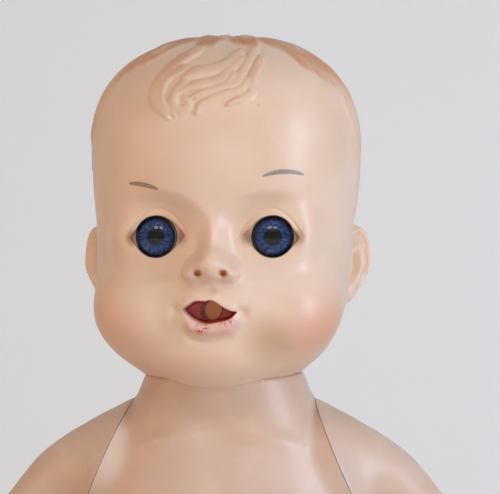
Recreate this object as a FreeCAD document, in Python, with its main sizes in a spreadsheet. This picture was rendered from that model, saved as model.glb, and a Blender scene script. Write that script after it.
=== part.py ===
import FreeCAD
import Part

import math
import os

import Sketcher
from FreeCAD import Matrix, Placement, Rotation, Vector

# A seated baby doll that drinks, wets and cries.  The frame has +Z up, the doll faces -Y, and its
# left side is +X.  The origin is the centre of the flat underside of the seat.  Units are millimetres.

DIMENSIONS = [
    # the whole figure
    ("vinyl_wall", 2.4, "wall of the head and the limbs"),
    ("torso_wall", 2.6, "wall of the two torso shells"),
    ("limb_gap", 0.3, "gap between a limb's root and the torso"),
    ("pin_fit", 0.1, "radial clearance of every part that turns in a hole"),
    ("seat_gap", 0.3, "clearance round a piece that is held still in its seat"),
    # head
    ("head_width", 102.0, "across the temples"),
    ("head_height", 126.8, "from the neck opening to the crown"),
    ("head_depth", 115.0, "from the forehead to the back of the skull"),
    ("chin_drop", 3.2, "how far the chin hangs below the neck opening"),
    ("ear_height", 30.0, "top to lobe"),
    ("ear_stand", 54.0, "from the middle plane to the rim of an ear"),
    ("ear_level", 39.6, "middle of the ears above the neck opening"),
    ("nose_reach", 57.5, "nose tip in front of the neck's axis"),
    ("nose_level", 40.5, "nose tip above the neck opening"),
    # eyes
    ("eye_spread", 20.5, "from the middle plane to an eye's axis"),
    ("eye_level", 50.2, "eye's axis above the neck opening"),
    ("eye_forward", 43.0, "iris plane in front of the neck's axis"),
    ("eye_turn", 7.0, "degrees that an eye looks outwards"),
    ("eye_radius", 7.0, "radius of the clear dome"),
    ("dome_rise", 4.2, "height of the clear dome"),
    ("iris_thickness", 0.4, "printed disc behind the dome"),
    ("eye_barrel", 8.6, "depth of the cup behind the iris"),
    ("stem_radius", 2.0, "stem of an eye"),
    ("stem_length", 6.0, "stem of an eye, behind its cup"),
    ("washer_radius", 6.0, "push-on washer"),
    ("washer_thickness", 1.0, "push-on washer"),
    # mouth and drinking tube
    ("mouth_level", 24.2, "middle of the mouth above the neck opening"),
    ("mouth_width", 19.0, "corner to corner"),
    ("mouth_opening", 9.4, "height between the lips"),
    ("cup_forward", 47.0, "rim of the mouth cup in front of the neck's axis"),
    ("cup_width", 26.0, "mouth cup, outside"),
    ("cup_height", 17.0, "mouth cup, outside"),
    ("cup_depth", 6.0, "mouth cup, outside"),
    ("cup_wall", 1.5, "mouth cup"),
    ("spout_radius", 3.9, "bore that takes the bottle's spout"),
    ("spout_length", 8.0, "bore that takes the bottle's spout"),
    ("cup_boss_radius", 6.0, "boss on the back of the mouth cup"),
    ("tube_radius", 4.4, "drinking tube, outside"),
    ("tube_bore", 3.0, "drinking tube, inside"),
    ("tube_socket", 5.0, "length of tube held in the boss"),
    ("tube_end", 8.0, "lower end of the drinking tube below the neck opening"),
    ("valve_thickness", 1.2, "rubber valve disc in front of the tube"),
    # neck joint
    ("neck_top", 203.5, "top of the visible neck above the seat"),
    ("neck_top_radius", 29.5, "visible neck at its top"),
    ("spigot_radius", 21.0, "neck spigot inside the head"),
    ("collar_radius", 24.0, "collar that keeps the head on"),
    ("collar_height", 4.0, "collar that keeps the head on"),
    ("spigot_wall", 2.6, "wall of the neck spigot"),
    # torso
    ("torso_width", 114.0, "across the hips"),
    ("torso_belly", 48.0, "belly in front of the middle plane"),
    ("torso_back", 39.0, "back behind the middle plane"),
    # shoulder joint
    ("shoulder_spread", 44.0, "joint centre from the middle plane"),
    ("shoulder_level", 170.0, "joint centre above the seat"),
    ("shoulder_tilt", 23.4, "degrees that the joint's axis points up"),
    ("shoulder_radius", 25.0, "radius of the joint's face"),
    ("upper_arm_radius", 14.0, "upper arm"),
    # hip joint
    ("hip_spread", 41.0, "joint centre from the middle plane"),
    ("hip_level", 37.0, "joint centre above the seat"),
    ("hip_tilt", 20.0, "degrees that the joint's axis points down"),
    ("hip_radius", 27.0, "radius of the joint's face"),
    ("thigh_radius", 23.0, "thigh"),
    # plugs of the limbs
    ("plug_radius", 12.0, "neck of a limb's plug"),
    ("plug_bore", 8.0, "opening through a plug"),
    ("plug_flange_radius", 15.5, "flange inside the torso"),
    ("plug_flange", 2.2, "thickness of that flange"),
    # battery box and its door
    ("hatch_plane", 38.2, "outer face of the hatch behind the middle plane"),
    ("cell_radius", 7.1, "one cell"),
    ("cell_length", 49.0, "one cell without its button"),
    ("box_level", 76.5, "middle of the cells above the seat"),
    ("cell_side_room", 0.8, "between the cells and each side of their box"),
    ("cell_end_room", 8.0, "in line with the cells, for their buttons, springs and contacts"),
    ("cell_depth_room", 1.6, "between the cells and the floor and seal of their box"),
    ("box_wall", 1.8, "battery box"),
    ("door_thickness", 1.8, "battery door"),
    ("door_overlap", 1.6, "battery door past the box room"),
    ("door_head", 8.0, "battery door above the box room, round its screw"),
    ("door_gap", 0.3, "gap round the battery door"),
    ("door_pin_radius", 0.9, "hinge pins of the battery door"),
    ("door_pin_length", 2.0, "hinge pins of the battery door"),
    ("seal_thickness", 0.8, "rubber seal under the door"),
    ("flange_margin", 4.6, "flange of the battery box round the door"),
    ("flange_thickness", 3.0, "flange of the battery box"),
    ("panel_margin", 2.4, "flat panel of the back round that flange"),
    ("screw_radius", 1.4, "all screws"),
    ("screw_head_radius", 2.7, "all screws"),
    ("screw_head", 1.5, "all screws"),
    # circuit board
    ("board_width", 29.0, "circuit board"),
    ("board_height", 50.0, "circuit board"),
    ("board_thickness", 1.6, "circuit board"),
    ("board_stand", 4.0, "posts between the battery box and the board"),
    ("post_radius", 2.6, "those posts"),
    ("post_inset", 3.6, "posts from the edges of the board"),
    ("ball_radius", 2.0, "ball of the tilt switch"),
    ("ball_travel", 3.0, "how far that ball rolls"),
    # speaker
    ("speaker_level", 150.0, "middle of the speaker above the seat"),
    ("speaker_plane", 27.0, "rim of the speaker behind the middle plane"),
    ("speaker_radius", 18.0, "speaker frame"),
    ("speaker_rim", 2.0, "speaker frame's rim"),
    ("speaker_depth", 8.0, "speaker frame's basket"),
    ("magnet_radius", 9.0, "speaker magnet"),
    ("magnet_height", 5.0, "speaker magnet"),
    ("grille_hole", 1.2, "radius of one hole of the grille"),
    ("grille_pitch", 5.2, "spacing of those holes"),
    # power switch
    ("switch_level", 125.5, "power switch above the seat"),
    ("switch_travel", 4.0, "stroke of its slider"),
    ("slider_width", 3.2, "knob of the slider"),
    # shell screws
    ("boss_radius", 4.0, "screw bosses of the torso shells"),
    ("boss_spread", 37.0, "those bosses from the middle plane"),
    ("boss_low", 76.0, "lower pair above the seat"),
    ("boss_high", 126.0, "upper pair above the seat"),
    ("shell_screw_length", 14.0, "torso screws"),
    # drain
    ("drain_forward", 9.0, "drain outlet in front of the middle plane"),
    ("drain_radius", 3.6, "drain tube, outside"),
    ("drain_bore", 2.2, "drain tube and nozzle, inside"),
    ("nozzle_radius", 6.0, "drain nozzle"),
    ("nozzle_height", 9.0, "drain nozzle"),
]

doc = FreeCAD.newDocument("BabyDoll")
sheet = doc.addObject("Spreadsheet::Sheet", "Dims")
for row, (alias, value, meaning) in enumerate(DIMENSIONS, start=1):
    sheet.set(f"A{row}", meaning)
    sheet.set(f"B{row}", str(value))
    sheet.setAlias(f"B{row}", alias)
doc.recompute()

PARTS = []
UP = Vector(0, 0, 1)
BACK = Vector(0, 1, 0)
FRONT = Vector(0, -1, 0)
LEFT = Vector(1, 0, 0)
FAR = 400.0


def size(alias):
    """The value of one named cell of the sheet."""
    return float(sheet.get(alias))


def worked_out(expression):
    """The number that an expression on the sheet's cells gives."""
    value = sheet.evalExpression(expression)
    return float(value.Value if hasattr(value, "Value") else value)


def keep(feature, label):
    """Marks a feature as a finished sub-part, and names it."""
    feature.Label = label
    PARTS.append(feature)
    return feature


def set_shape(label, shape):
    """A sub-part whose shape is made with Part's own functions."""
    feature = doc.addObject("Part::Feature", label)
    feature.Shape = shape
    feature.Placement = Placement()
    return keep(feature, label)


# ---------------------------------------------------------------- PartDesign helpers


def new_body(label, base=Vector(), rotation=Rotation()):
    """A body that is drawn round its own origin and then placed."""
    body = doc.addObject("PartDesign::Body", label)
    body.Placement = Placement(base, rotation)
    return keep(body, label)


def new_sketch(body, role="XY_Plane", offset="0"):
    """A sketch on one of the body's origin planes, lifted off it by offset."""
    sketch = body.newObject("Sketcher::SketchObject", body.Label + "_sketch")
    plane = next(f for f in body.Origin.OriginFeatures if f.Role == role)
    sketch.AttachmentSupport = [(plane, "")]
    sketch.MapMode = "FlatFace"
    sketch.setExpression("AttachmentOffset.Base.z", offset)
    return sketch


def drive(sketch, constraint, expression):
    """Adds a constraint and ties its value to the sheet."""
    index = sketch.addConstraint(constraint)
    sketch.setExpression(f"Constraints[{index}]", expression)


def place_point(sketch, geometry, vertex, across, up):
    """Ties one point of a sketch's geometry to its place from the sketch's origin."""
    for kind, expression in (("DistanceX", across), ("DistanceY", up)):
        constraint = Sketcher.Constraint(kind, -1, 1, geometry, vertex, worked_out(expression))
        drive(sketch, constraint, expression)


def add_circle(sketch, radius, across="0", up="0"):
    """A circle whose radius and centre follow the sheet."""
    centre = Vector(worked_out(across), worked_out(up), 0)
    circle = sketch.addGeometry(Part.Circle(centre, UP, worked_out(radius)))
    drive(sketch, Sketcher.Constraint("Radius", circle, worked_out(radius)), radius)
    place_point(sketch, circle, 3, across, up)


def add_rectangle(sketch, width, height, across="0", up="0"):
    """A rectangle whose size and centre follow the sheet."""
    half_width, half_height = worked_out(width) / 2, worked_out(height) / 2
    middle = Vector(worked_out(across), worked_out(up), 0)
    corners = [
        middle + Vector(x * half_width, y * half_height, 0)
        for x, y in ((-1, -1), (1, -1), (1, 1), (-1, 1))
    ]
    lines = [
        sketch.addGeometry(Part.LineSegment(corners[i], corners[(i + 1) % 4])) for i in range(4)
    ]
    for i, line in enumerate(lines):
        sketch.addConstraint(Sketcher.Constraint("Coincident", line, 2, lines[(i + 1) % 4], 1))
        sketch.addConstraint(Sketcher.Constraint("Vertical" if i % 2 else "Horizontal", line))
    for kind, line, length in (("DistanceX", lines[0], width), ("DistanceY", lines[1], height)):
        drive(sketch, Sketcher.Constraint(kind, line, 1, line, 2, worked_out(length)), length)
    place_point(sketch, lines[0], 1, f"{across} - ({width}) / 2", f"{up} - ({height}) / 2")


def add_outline(sketch, points):
    """A closed outline of straight lines through points given as pairs of expressions."""
    corners = [Vector(worked_out(x), worked_out(y), 0) for x, y in points]
    count = len(corners)
    lines = [
        sketch.addGeometry(Part.LineSegment(corners[i], corners[(i + 1) % count]))
        for i in range(count)
    ]
    for i, line in enumerate(lines):
        sketch.addConstraint(Sketcher.Constraint("Coincident", line, 2, lines[(i + 1) % count], 1))
        place_point(sketch, line, 1, *points[i])


def extrude(body, sketch, length, cut=False, reverse=False):
    """Pads a sketch along its normal by length, or pockets it against its normal."""
    feature = body.newObject("PartDesign::Pocket" if cut else "PartDesign::Pad", body.Label + "_step")
    feature.Profile = sketch
    feature.setExpression("Length", length)
    feature.Reversed = reverse
    sketch.Visibility = False
    body.Tip = feature
    return feature


def revolve(body, points):
    """Turns an outline of (radius, height) points round the body's Z axis."""
    sketch = new_sketch(body, "XZ_Plane")
    add_outline(sketch, points)
    feature = body.newObject("PartDesign::Revolution", body.Label + "_turned")
    feature.Profile = sketch
    feature.ReferenceAxis = (sketch, ["V_Axis"])
    feature.Angle = 360
    body.Tip = feature
    return feature


def round_edges(body, picks, radius):
    """Fillets the edges of the body's last feature for which picks says yes."""
    doc.recompute()
    before = body.Tip
    names = [f"Edge{i}" for i, edge in enumerate(before.Shape.Edges, start=1) if picks(edge)]
    fillet = body.newObject("PartDesign::Fillet", body.Label + "_rounded")
    fillet.Base = (before, names)
    fillet.setExpression("Radius", radius)
    body.Tip = fillet


def upright(edge):
    """True for a straight edge along the body's Z axis."""
    if len(edge.Vertexes) != 2:
        return False
    run = edge.Vertexes[1].Point - edge.Vertexes[0].Point
    return abs(run.z) > 0.999 * run.Length


def solid_box(low, high):
    """A plain box between two corners."""
    span = high - low
    return Part.makeBox(span.x, span.y, span.z, low)


def facing(direction, across=LEFT):
    """The rotation that carries +Z to direction and +X towards across."""
    return Rotation(across, Vector(), direction, "ZXY")


# ---------------------------------------------------------------- soft outlines


def half_rings(level, half_width, front, back):
    """A level egg-shaped outline: half an ellipse in front and half an ellipse behind."""
    edges = []
    for start, depth in ((0, back), (180, front)):
        arc = Part.makeCircle(1, Vector(), UP, start, start + 180)
        stretch = Matrix(half_width, 0, 0, 0, 0, depth, 0, 0, 0, 0, 1, level)
        edges.append(arc.transformGeometry(stretch))
    return Part.Wire(edges)


def stacked(levels, wall=0.0):
    """A closed form through level outlines.  A wall shrinks it to the hollow inside that wall."""
    last = len(levels) - 1
    rings = []
    for i, (level, half_width, front, back) in enumerate(levels):
        rise = wall if i == 0 else (-wall if i == last else 0.0)
        rings.append(half_rings(level + rise, half_width - wall, front - wall, back - wall))
    return Part.makeLoft(rings, True, False)


def ellipsoid(centre, half_width, half_depth, half_height):
    """A ball stretched along the three axes."""
    stretch = Matrix(
        half_width, 0, 0, centre.x, 0, half_depth, 0, centre.y, 0, 0, half_height, centre.z
    )
    return Part.makeSphere(1).transformGeometry(stretch)


def unit(vector):
    """The vector with length one."""
    return Vector(vector).normalize()


def limb_ring(centre, normal, start, flat, half_flat, half_thick):
    """An ellipse round a limb.  Its wide way runs along flat, and its seam lies towards start."""
    wide = unit(flat - normal * flat.dot(normal))
    thick = normal.cross(wide)
    side = normal.cross(start)

    def swell(v):
        return wide * (half_flat * v.dot(wide)) + thick * (half_thick * v.dot(thick))

    x, y = swell(start), swell(side)
    frame = Matrix(
        x.x, y.x, normal.x, centre.x, x.y, y.y, normal.y, centre.y, x.z, y.z, normal.z, centre.z
    )
    return Part.Wire([Part.makeCircle(1).transformGeometry(frame)])


def root_stations(centre, axis, reach, root_radius, limb_radius):
    """The stations where a limb turns from its joint's face to the way that it reaches.

    They fan round a point just past the face's rim, and thin quickly from the face to the limb.
    """
    fan_angles = (0, 11, 24, 39, 56)
    settle_angle = 24.0
    inner_bend = 2.0
    towards = unit(reach - axis * reach.dot(axis))
    pivot = centre + towards * root_radius
    end_angle = math.degrees(axis.getAngle(reach))
    stations = []
    for angle in fan_angles + (end_angle,):
        turn = math.radians(angle)
        radius = limb_radius + (root_radius - limb_radius) * math.exp(-angle / settle_angle)
        if angle == 0:
            radius = root_radius
        outwards = axis * math.sin(turn) - towards * math.cos(turn)
        normal = axis * math.cos(turn) + towards * math.sin(turn)
        middle = pivot + outwards * (radius + inner_bend * math.sin(turn))
        stations.append((middle, normal, radius, radius, axis.cross(towards)))
    return stations


def lofted_limb(stations, wall=0.0):
    """A limb through its stations.  A wall shrinks it to the hollow inside that wall."""
    rings = []
    seam = None
    for i, (middle, normal, half_flat, half_thick, flat) in enumerate(stations):
        if seam is None:
            seam = unit(flat)
        seam = unit(seam - normal * seam.dot(normal))
        centre = middle + normal * wall if i == 0 else middle
        rings.append(limb_ring(centre, normal, seam, flat, half_flat - wall, half_thick - wall))
    return Part.makeLoft(rings, True, True)


def route_of(points):
    """A smooth wire through a route's points: straight runs joined by the largest tangent arcs."""
    edges, begin = [], points[0]
    for before, corner, after in zip(points, points[1:], points[2:]):
        inwards, onwards = unit(before - corner), unit(after - corner)
        turn = math.pi - inwards.getAngle(onwards)
        shorter = min((before - corner).Length, (after - corner).Length)
        trim = 0.45 * shorter
        radius = trim / math.tan(turn / 2)
        centre = corner + unit(inwards + onwards) * (radius / math.cos(turn / 2))
        middle = centre + unit(corner - centre) * radius
        enter, leave = corner + inwards * trim, corner + onwards * trim
        edges.append(Part.LineSegment(begin, enter).toShape())
        edges.append(Part.Arc(enter, middle, leave).toShape())
        begin = leave
        print(f"route arc radius {radius:.1f}")
    edges.append(Part.LineSegment(begin, points[-1]).toShape())
    return Part.Wire(edges)


def swept(points, radius, bore=0.0):
    """A round tube or wire along a route."""
    route = route_of(points)
    heading = unit(points[1] - points[0])

    def along(section_radius):
        circle = Part.Wire([Part.makeCircle(section_radius, points[0], heading)])
        return route.makePipeShell([circle], True, True)

    tube = along(radius)
    if bore:
        tube = tube.cut(along(bore))
    area = math.pi * (radius**2 - bore**2)
    print(f"tube volume {tube.Volume:.0f}, section times length {area * route.Length:.0f}")
    return tube


# ---------------------------------------------------------------- shared places

VINYL = size("vinyl_wall")
SHELL = size("torso_wall")
NECK_TOP = size("neck_top")
HEAD_FOOT = NECK_TOP + size("limb_gap")
SHOULDER_TILT = math.radians(size("shoulder_tilt"))
HIP_TILT = math.radians(size("hip_tilt"))
SPIGOT_BORE = "(Dims.spigot_radius - Dims.spigot_wall)"
ROOM_WIDTH = "(4 * Dims.cell_radius + 2 * Dims.cell_side_room)"
ROOM_HEIGHT = "(Dims.cell_length + Dims.cell_end_room)"
ROOM_DEPTH = "(2 * Dims.cell_radius + Dims.cell_depth_room)"
HATCH = size("hatch_plane")
BOX_FACE = HATCH - size("flange_thickness")
BOX_FLOOR = (
    HATCH
    - size("door_thickness")
    - size("seal_thickness")
    - worked_out(ROOM_DEPTH)
    - size("box_wall")
)
BOARD_FACE = BOX_FLOOR - size("board_stand") - size("board_thickness")
DOOR_WIDTH = f"({ROOM_WIDTH} + 2 * Dims.door_overlap)"
DOOR_HEIGHT = f"({ROOM_HEIGHT} + Dims.door_overlap + Dims.door_head)"
DOOR_RAISE = "((Dims.door_head - Dims.door_overlap) / 2)"


def shoulder(side):
    """Joint centre and outward axis of a shoulder; side is 1 for left and -1 for right."""
    centre = Vector(side * size("shoulder_spread"), 0, size("shoulder_level"))
    return centre, Vector(side * math.cos(SHOULDER_TILT), 0, math.sin(SHOULDER_TILT))


def hip(side):
    """Joint centre and outward axis of a hip."""
    centre = Vector(side * size("hip_spread"), 0, size("hip_level"))
    return centre, Vector(side * math.cos(HIP_TILT), 0, -math.sin(HIP_TILT))


def eye_frame(side):
    """Centre of an eye's iris plane, and the way that the eye looks."""
    centre = Vector(
        side * size("eye_spread"), -size("eye_forward"), HEAD_FOOT + size("eye_level")
    )
    turn = math.radians(size("eye_turn"))
    return centre, Vector(side * math.sin(turn), -math.cos(turn), 0)


def shell_screw_places():
    """The four screws that join the torso shells, at the middle plane."""
    levels = (size("boss_low"), size("boss_high"))
    return [Vector(x * size("boss_spread"), 0, z) for z in levels for x in (-1, 1)]


# ---------------------------------------------------------------- head


def head_levels():
    """The head's outline at each level: share of height, then shares of width, front and back."""
    shares = [
        (0.000, 0.60, 0.50, 0.46),
        (0.034, 0.72, 0.74, 0.53),
        (0.085, 0.85, 0.86, 0.62),
        (0.165, 0.93, 0.92, 0.77),
        (0.270, 0.945, 0.925, 0.90),
        (0.395, 0.955, 0.895, 0.98),
        (0.540, 0.985, 0.960, 1.02),
        (0.680, 1.000, 0.950, 1.02),
        (0.795, 0.960, 0.860, 0.95),
        (0.885, 0.810, 0.690, 0.81),
        (0.950, 0.560, 0.460, 0.61),
        (0.985, 0.300, 0.240, 0.38),
        (1.000, 0.130, 0.080, 0.21),
    ]
    half_width, half_depth = size("head_width") / 2, size("head_depth") / 2
    return [
        (
            HEAD_FOOT + share * size("head_height"),
            width * half_width,
            front * half_depth,
            back * half_depth,
        )
        for share, width, front, back in shares
    ]


def make_head_shell():
    """Soft vinyl head with its ears, nose, eye sockets, mouth and neck opening."""
    shell = stacked(head_levels())
    chin_height = 13.0
    chin_centre = HEAD_FOOT - size("chin_drop") + chin_height
    chin = ellipsoid(Vector(0, -0.68 * size("head_depth") / 2, chin_centre), 20, 13.5, chin_height)
    nose_depth = 9.0
    nose_centre = Vector(0, -size("nose_reach") + nose_depth, HEAD_FOOT + size("nose_level"))
    shell = shell.fuse([chin, ellipsoid(nose_centre, 8.5, nose_depth, 7.0)])
    ear_thickness, ear_depth, ear_back = 7.5, 9.5, 5.0
    for side in (-1, 1):
        ear = Vector(
            side * (size("ear_stand") - ear_thickness), ear_back, HEAD_FOOT + size("ear_level")
        )
        shell = shell.fuse(ellipsoid(ear, ear_thickness, ear_depth, size("ear_height") / 2))
    shell = shell.cut(stacked(head_levels(), VINYL))
    pocket_radius = size("eye_radius") + size("pin_fit")
    pocket_depth = size("iris_thickness") + size("eye_barrel") + size("pin_fit")
    socket_radius = pocket_radius + VINYL
    for side in (-1, 1):
        centre, look = eye_frame(side)
        back = centre - look * (pocket_depth + VINYL)
        socket = Part.makeCylinder(socket_radius, pocket_depth + VINYL - 1.0, back, look)
        shell = shell.fuse(socket)
        pocket = Part.makeCylinder(
            pocket_radius, pocket_depth + 30, centre - look * pocket_depth, look
        )
        stem_hole = Part.makeCylinder(
            size("stem_radius") + size("pin_fit"), FAR, centre - look * 60, look
        )
        near_socket = solid_box(back - Vector(20, 9, 20), centre + Vector(20, 20, 20))
        shell = shell.cut([pocket, stem_hole.common(near_socket)])
    mouth = ellipsoid(
        Vector(0, -size("head_depth") / 2, HEAD_FOOT + size("mouth_level")),
        size("mouth_width") / 2,
        30,
        size("mouth_opening") / 2,
    )
    neck_hole = Part.makeCylinder(
        size("spigot_radius") + size("pin_fit"), 3 * VINYL, Vector(0, 0, HEAD_FOOT - VINYL)
    )
    set_shape("head_shell", shell.cut([mouth, neck_hole]).removeSplitter())


def make_eye(side, word):
    """One eye: clear dome, printed iris, cup with its stem, and push-on washer."""
    centre, look = eye_frame(side)
    turn = facing(look)

    dome = new_body(word + "_eye_dome", centre, turn)
    sketch = new_sketch(dome, "XZ_Plane")
    radius, rise = size("eye_radius"), size("dome_rise")
    ball = (radius**2 + rise**2) / (2 * rise)
    middle = Vector(0, rise - ball, 0)
    half_angle = math.asin(radius / ball)
    arc = sketch.addGeometry(
        Part.ArcOfCircle(
            Part.Circle(middle, UP, ball), math.pi / 2 - half_angle, math.pi / 2
        )
    )
    base = sketch.addGeometry(Part.LineSegment(Vector(0, 0, 0), Vector(radius, 0, 0)))
    height = sketch.addGeometry(Part.LineSegment(Vector(0, rise, 0), Vector(0, 0, 0)))
    for first, second in (((base, 2), (arc, 1)), ((arc, 2), (height, 1)), ((height, 2), (base, 1))):
        sketch.addConstraint(Sketcher.Constraint("Coincident", *first, *second))
    place_point(sketch, base, 1, "0", "0")
    place_point(sketch, base, 2, "Dims.eye_radius", "0")
    place_point(sketch, height, 1, "0", "Dims.dome_rise")
    sketch.addConstraint(Sketcher.Constraint("DistanceX", -1, 1, arc, 3, 0))
    turned = dome.newObject("PartDesign::Revolution", "dome_turned")
    turned.Profile = sketch
    turned.ReferenceAxis = (sketch, ["V_Axis"])
    turned.Angle = 360
    dome.Tip = turned

    iris = doc.addObject("Part::Cylinder", word + "_iris")
    iris.setExpression("Radius", "Dims.eye_radius - Dims.pin_fit")
    iris.setExpression("Height", "Dims.iris_thickness")
    iris.Placement = Placement(centre - look * size("iris_thickness"), turn)
    keep(iris, word + "_eye_iris")

    cup = new_body(word + "_eye_cup", centre - look * size("iris_thickness"), turn)
    revolve(
        cup,
        [
            ("0", "0"),
            ("Dims.eye_radius", "0"),
            ("Dims.eye_radius", "-Dims.eye_barrel"),
            ("Dims.stem_radius", "-Dims.eye_barrel"),
            ("Dims.stem_radius", "-Dims.eye_barrel - Dims.stem_length"),
            ("0", "-Dims.eye_barrel - Dims.stem_length"),
        ],
    )

    depth = size("iris_thickness") + size("eye_barrel") + 2 * size("pin_fit") + VINYL
    ring = doc.addObject("Part::Cylinder", word + "_washer_disc")
    ring.setExpression("Radius", "Dims.washer_radius")
    ring.setExpression("Height", "Dims.washer_thickness")
    hole = doc.addObject("Part::Cylinder", word + "_washer_hole")
    hole.setExpression("Radius", "Dims.stem_radius + Dims.pin_fit / 2")
    hole.setExpression("Height", "Dims.washer_thickness")
    washer = doc.addObject("Part::Cut", word + "_washer")
    washer.Base, washer.Tool = ring, hole
    washer.Placement = Placement(centre - look * (depth + size("washer_thickness")), turn)
    keep(washer, word + "_eye_washer")


def make_mouth():
    """Mouth cup, the valve disc in its bore, and the drinking tube down to the neck's axis."""
    level = HEAD_FOOT + size("mouth_level")
    rim = Vector(0, -size("cup_forward"), level)
    cup = new_body("mouth_cup", rim, facing(FRONT))
    outer = new_sketch(cup)
    add_rectangle(outer, "Dims.cup_width", "Dims.cup_height")
    extrude(cup, outer, "Dims.cup_depth", reverse=True)
    round_edges(cup, upright, "Dims.cup_height * 0.47")
    boss = new_sketch(cup, offset="-Dims.cup_depth")
    add_circle(boss, "Dims.cup_boss_radius")
    boss_length = "Dims.spout_length + Dims.tube_socket - Dims.cup_wall"
    extrude(cup, boss, boss_length, reverse=True)
    room = new_sketch(cup)
    add_rectangle(
        room, "Dims.cup_width - 2 * Dims.cup_wall", "Dims.cup_height - 2 * Dims.cup_wall"
    )
    extrude(cup, room, "Dims.cup_depth - Dims.cup_wall", cut=True)
    bore = new_sketch(cup)
    add_circle(bore, "Dims.spout_radius")
    extrude(cup, bore, "Dims.cup_depth - Dims.cup_wall + Dims.spout_length", cut=True)
    socket_start = "-Dims.cup_depth + Dims.cup_wall - Dims.spout_length"
    socket = new_sketch(cup, offset=socket_start)
    add_circle(socket, "Dims.tube_radius + Dims.pin_fit")
    extrude(cup, socket, "Dims.tube_socket + 1", cut=True)

    socket_floor = size("cup_forward") - size("cup_depth") + size("cup_wall")
    valve_front = socket_floor - size("spout_length")
    tube_start = valve_front - size("valve_thickness")
    disc = doc.addObject("Part::Cylinder", "valve_disc")
    disc.setExpression("Radius", "Dims.tube_radius")
    disc.setExpression("Height", "Dims.valve_thickness")
    hole = doc.addObject("Part::Cylinder", "valve_hole")
    hole.setExpression("Radius", "Dims.tube_radius / 5")
    hole.setExpression("Height", "Dims.valve_thickness")
    valve = doc.addObject("Part::Cut", "valve")
    valve.Base, valve.Tool = disc, hole
    valve.Placement = Placement(Vector(0, -tube_start, level), facing(FRONT))
    keep(valve, "mouth_valve")

    route = [
        Vector(0, -tube_start, level),
        Vector(0, 0, level),
        Vector(0, 0, HEAD_FOOT - size("tube_end")),
    ]
    set_shape("drinking_tube", swept(route, size("tube_radius"), size("tube_bore")))


# ---------------------------------------------------------------- torso


def torso_levels():
    """The torso's outline at each level: height, then shares of width, belly and back."""
    shares = [
        (0.0, 0.56, 0.50, 0.72),
        (6.0, 0.76, 0.74, 0.88),
        (20.0, 0.93, 0.91, 0.97),
        (45.0, 0.985, 1.00, 1.00),
        (76.0, 0.955, 0.985, 0.985),
        (106.0, 0.915, 0.88, 0.955),
        (135.0, 0.900, 0.79, 0.935),
        (160.0, 0.850, 0.72, 0.880),
        (180.0, 0.700, 0.645, 0.805),
        (192.0, 0.600, 0.605, 0.765),
    ]
    half_width = size("torso_width") / 2
    levels = [
        (level, width * half_width, front * size("torso_belly"), back * size("torso_back"))
        for level, width, front, back in shares
    ]
    top = size("neck_top_radius")
    return levels + [(NECK_TOP, top, top - 1.0, top)]


def joint_stubs(wall):
    """The rounded shoulders and hips of the torso, which end at the joints' faces."""
    stub = 30.0
    stubs = []
    for side in (-1, 1):
        for (centre, axis), radius in (
            (shoulder(side), size("shoulder_radius")),
            (hip(side), size("hip_radius")),
        ):
            base = centre - axis * stub
            stubs.append(Part.makeCone(radius * 0.8 - wall, radius - wall, stub, base, axis))
    return stubs


def joint_trims(wall):
    """What is cut off outside the joints' faces, with room for the thighs to swing past."""
    depth, hip_flare = 25.0, 2.4
    trims = []
    for side in (-1, 1):
        centre, axis = shoulder(side)
        radius = size("shoulder_radius") + 3.5
        trims.append(Part.makeCylinder(radius, 60, centre - axis * wall, axis))
        centre, axis = hip(side)
        radius = size("hip_radius") + 2.0 + wall
        wide = radius + hip_flare * depth
        base = centre - axis * wall
        trims.append(Part.makeCone(radius, wide, depth, base, axis))
    return trims


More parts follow.
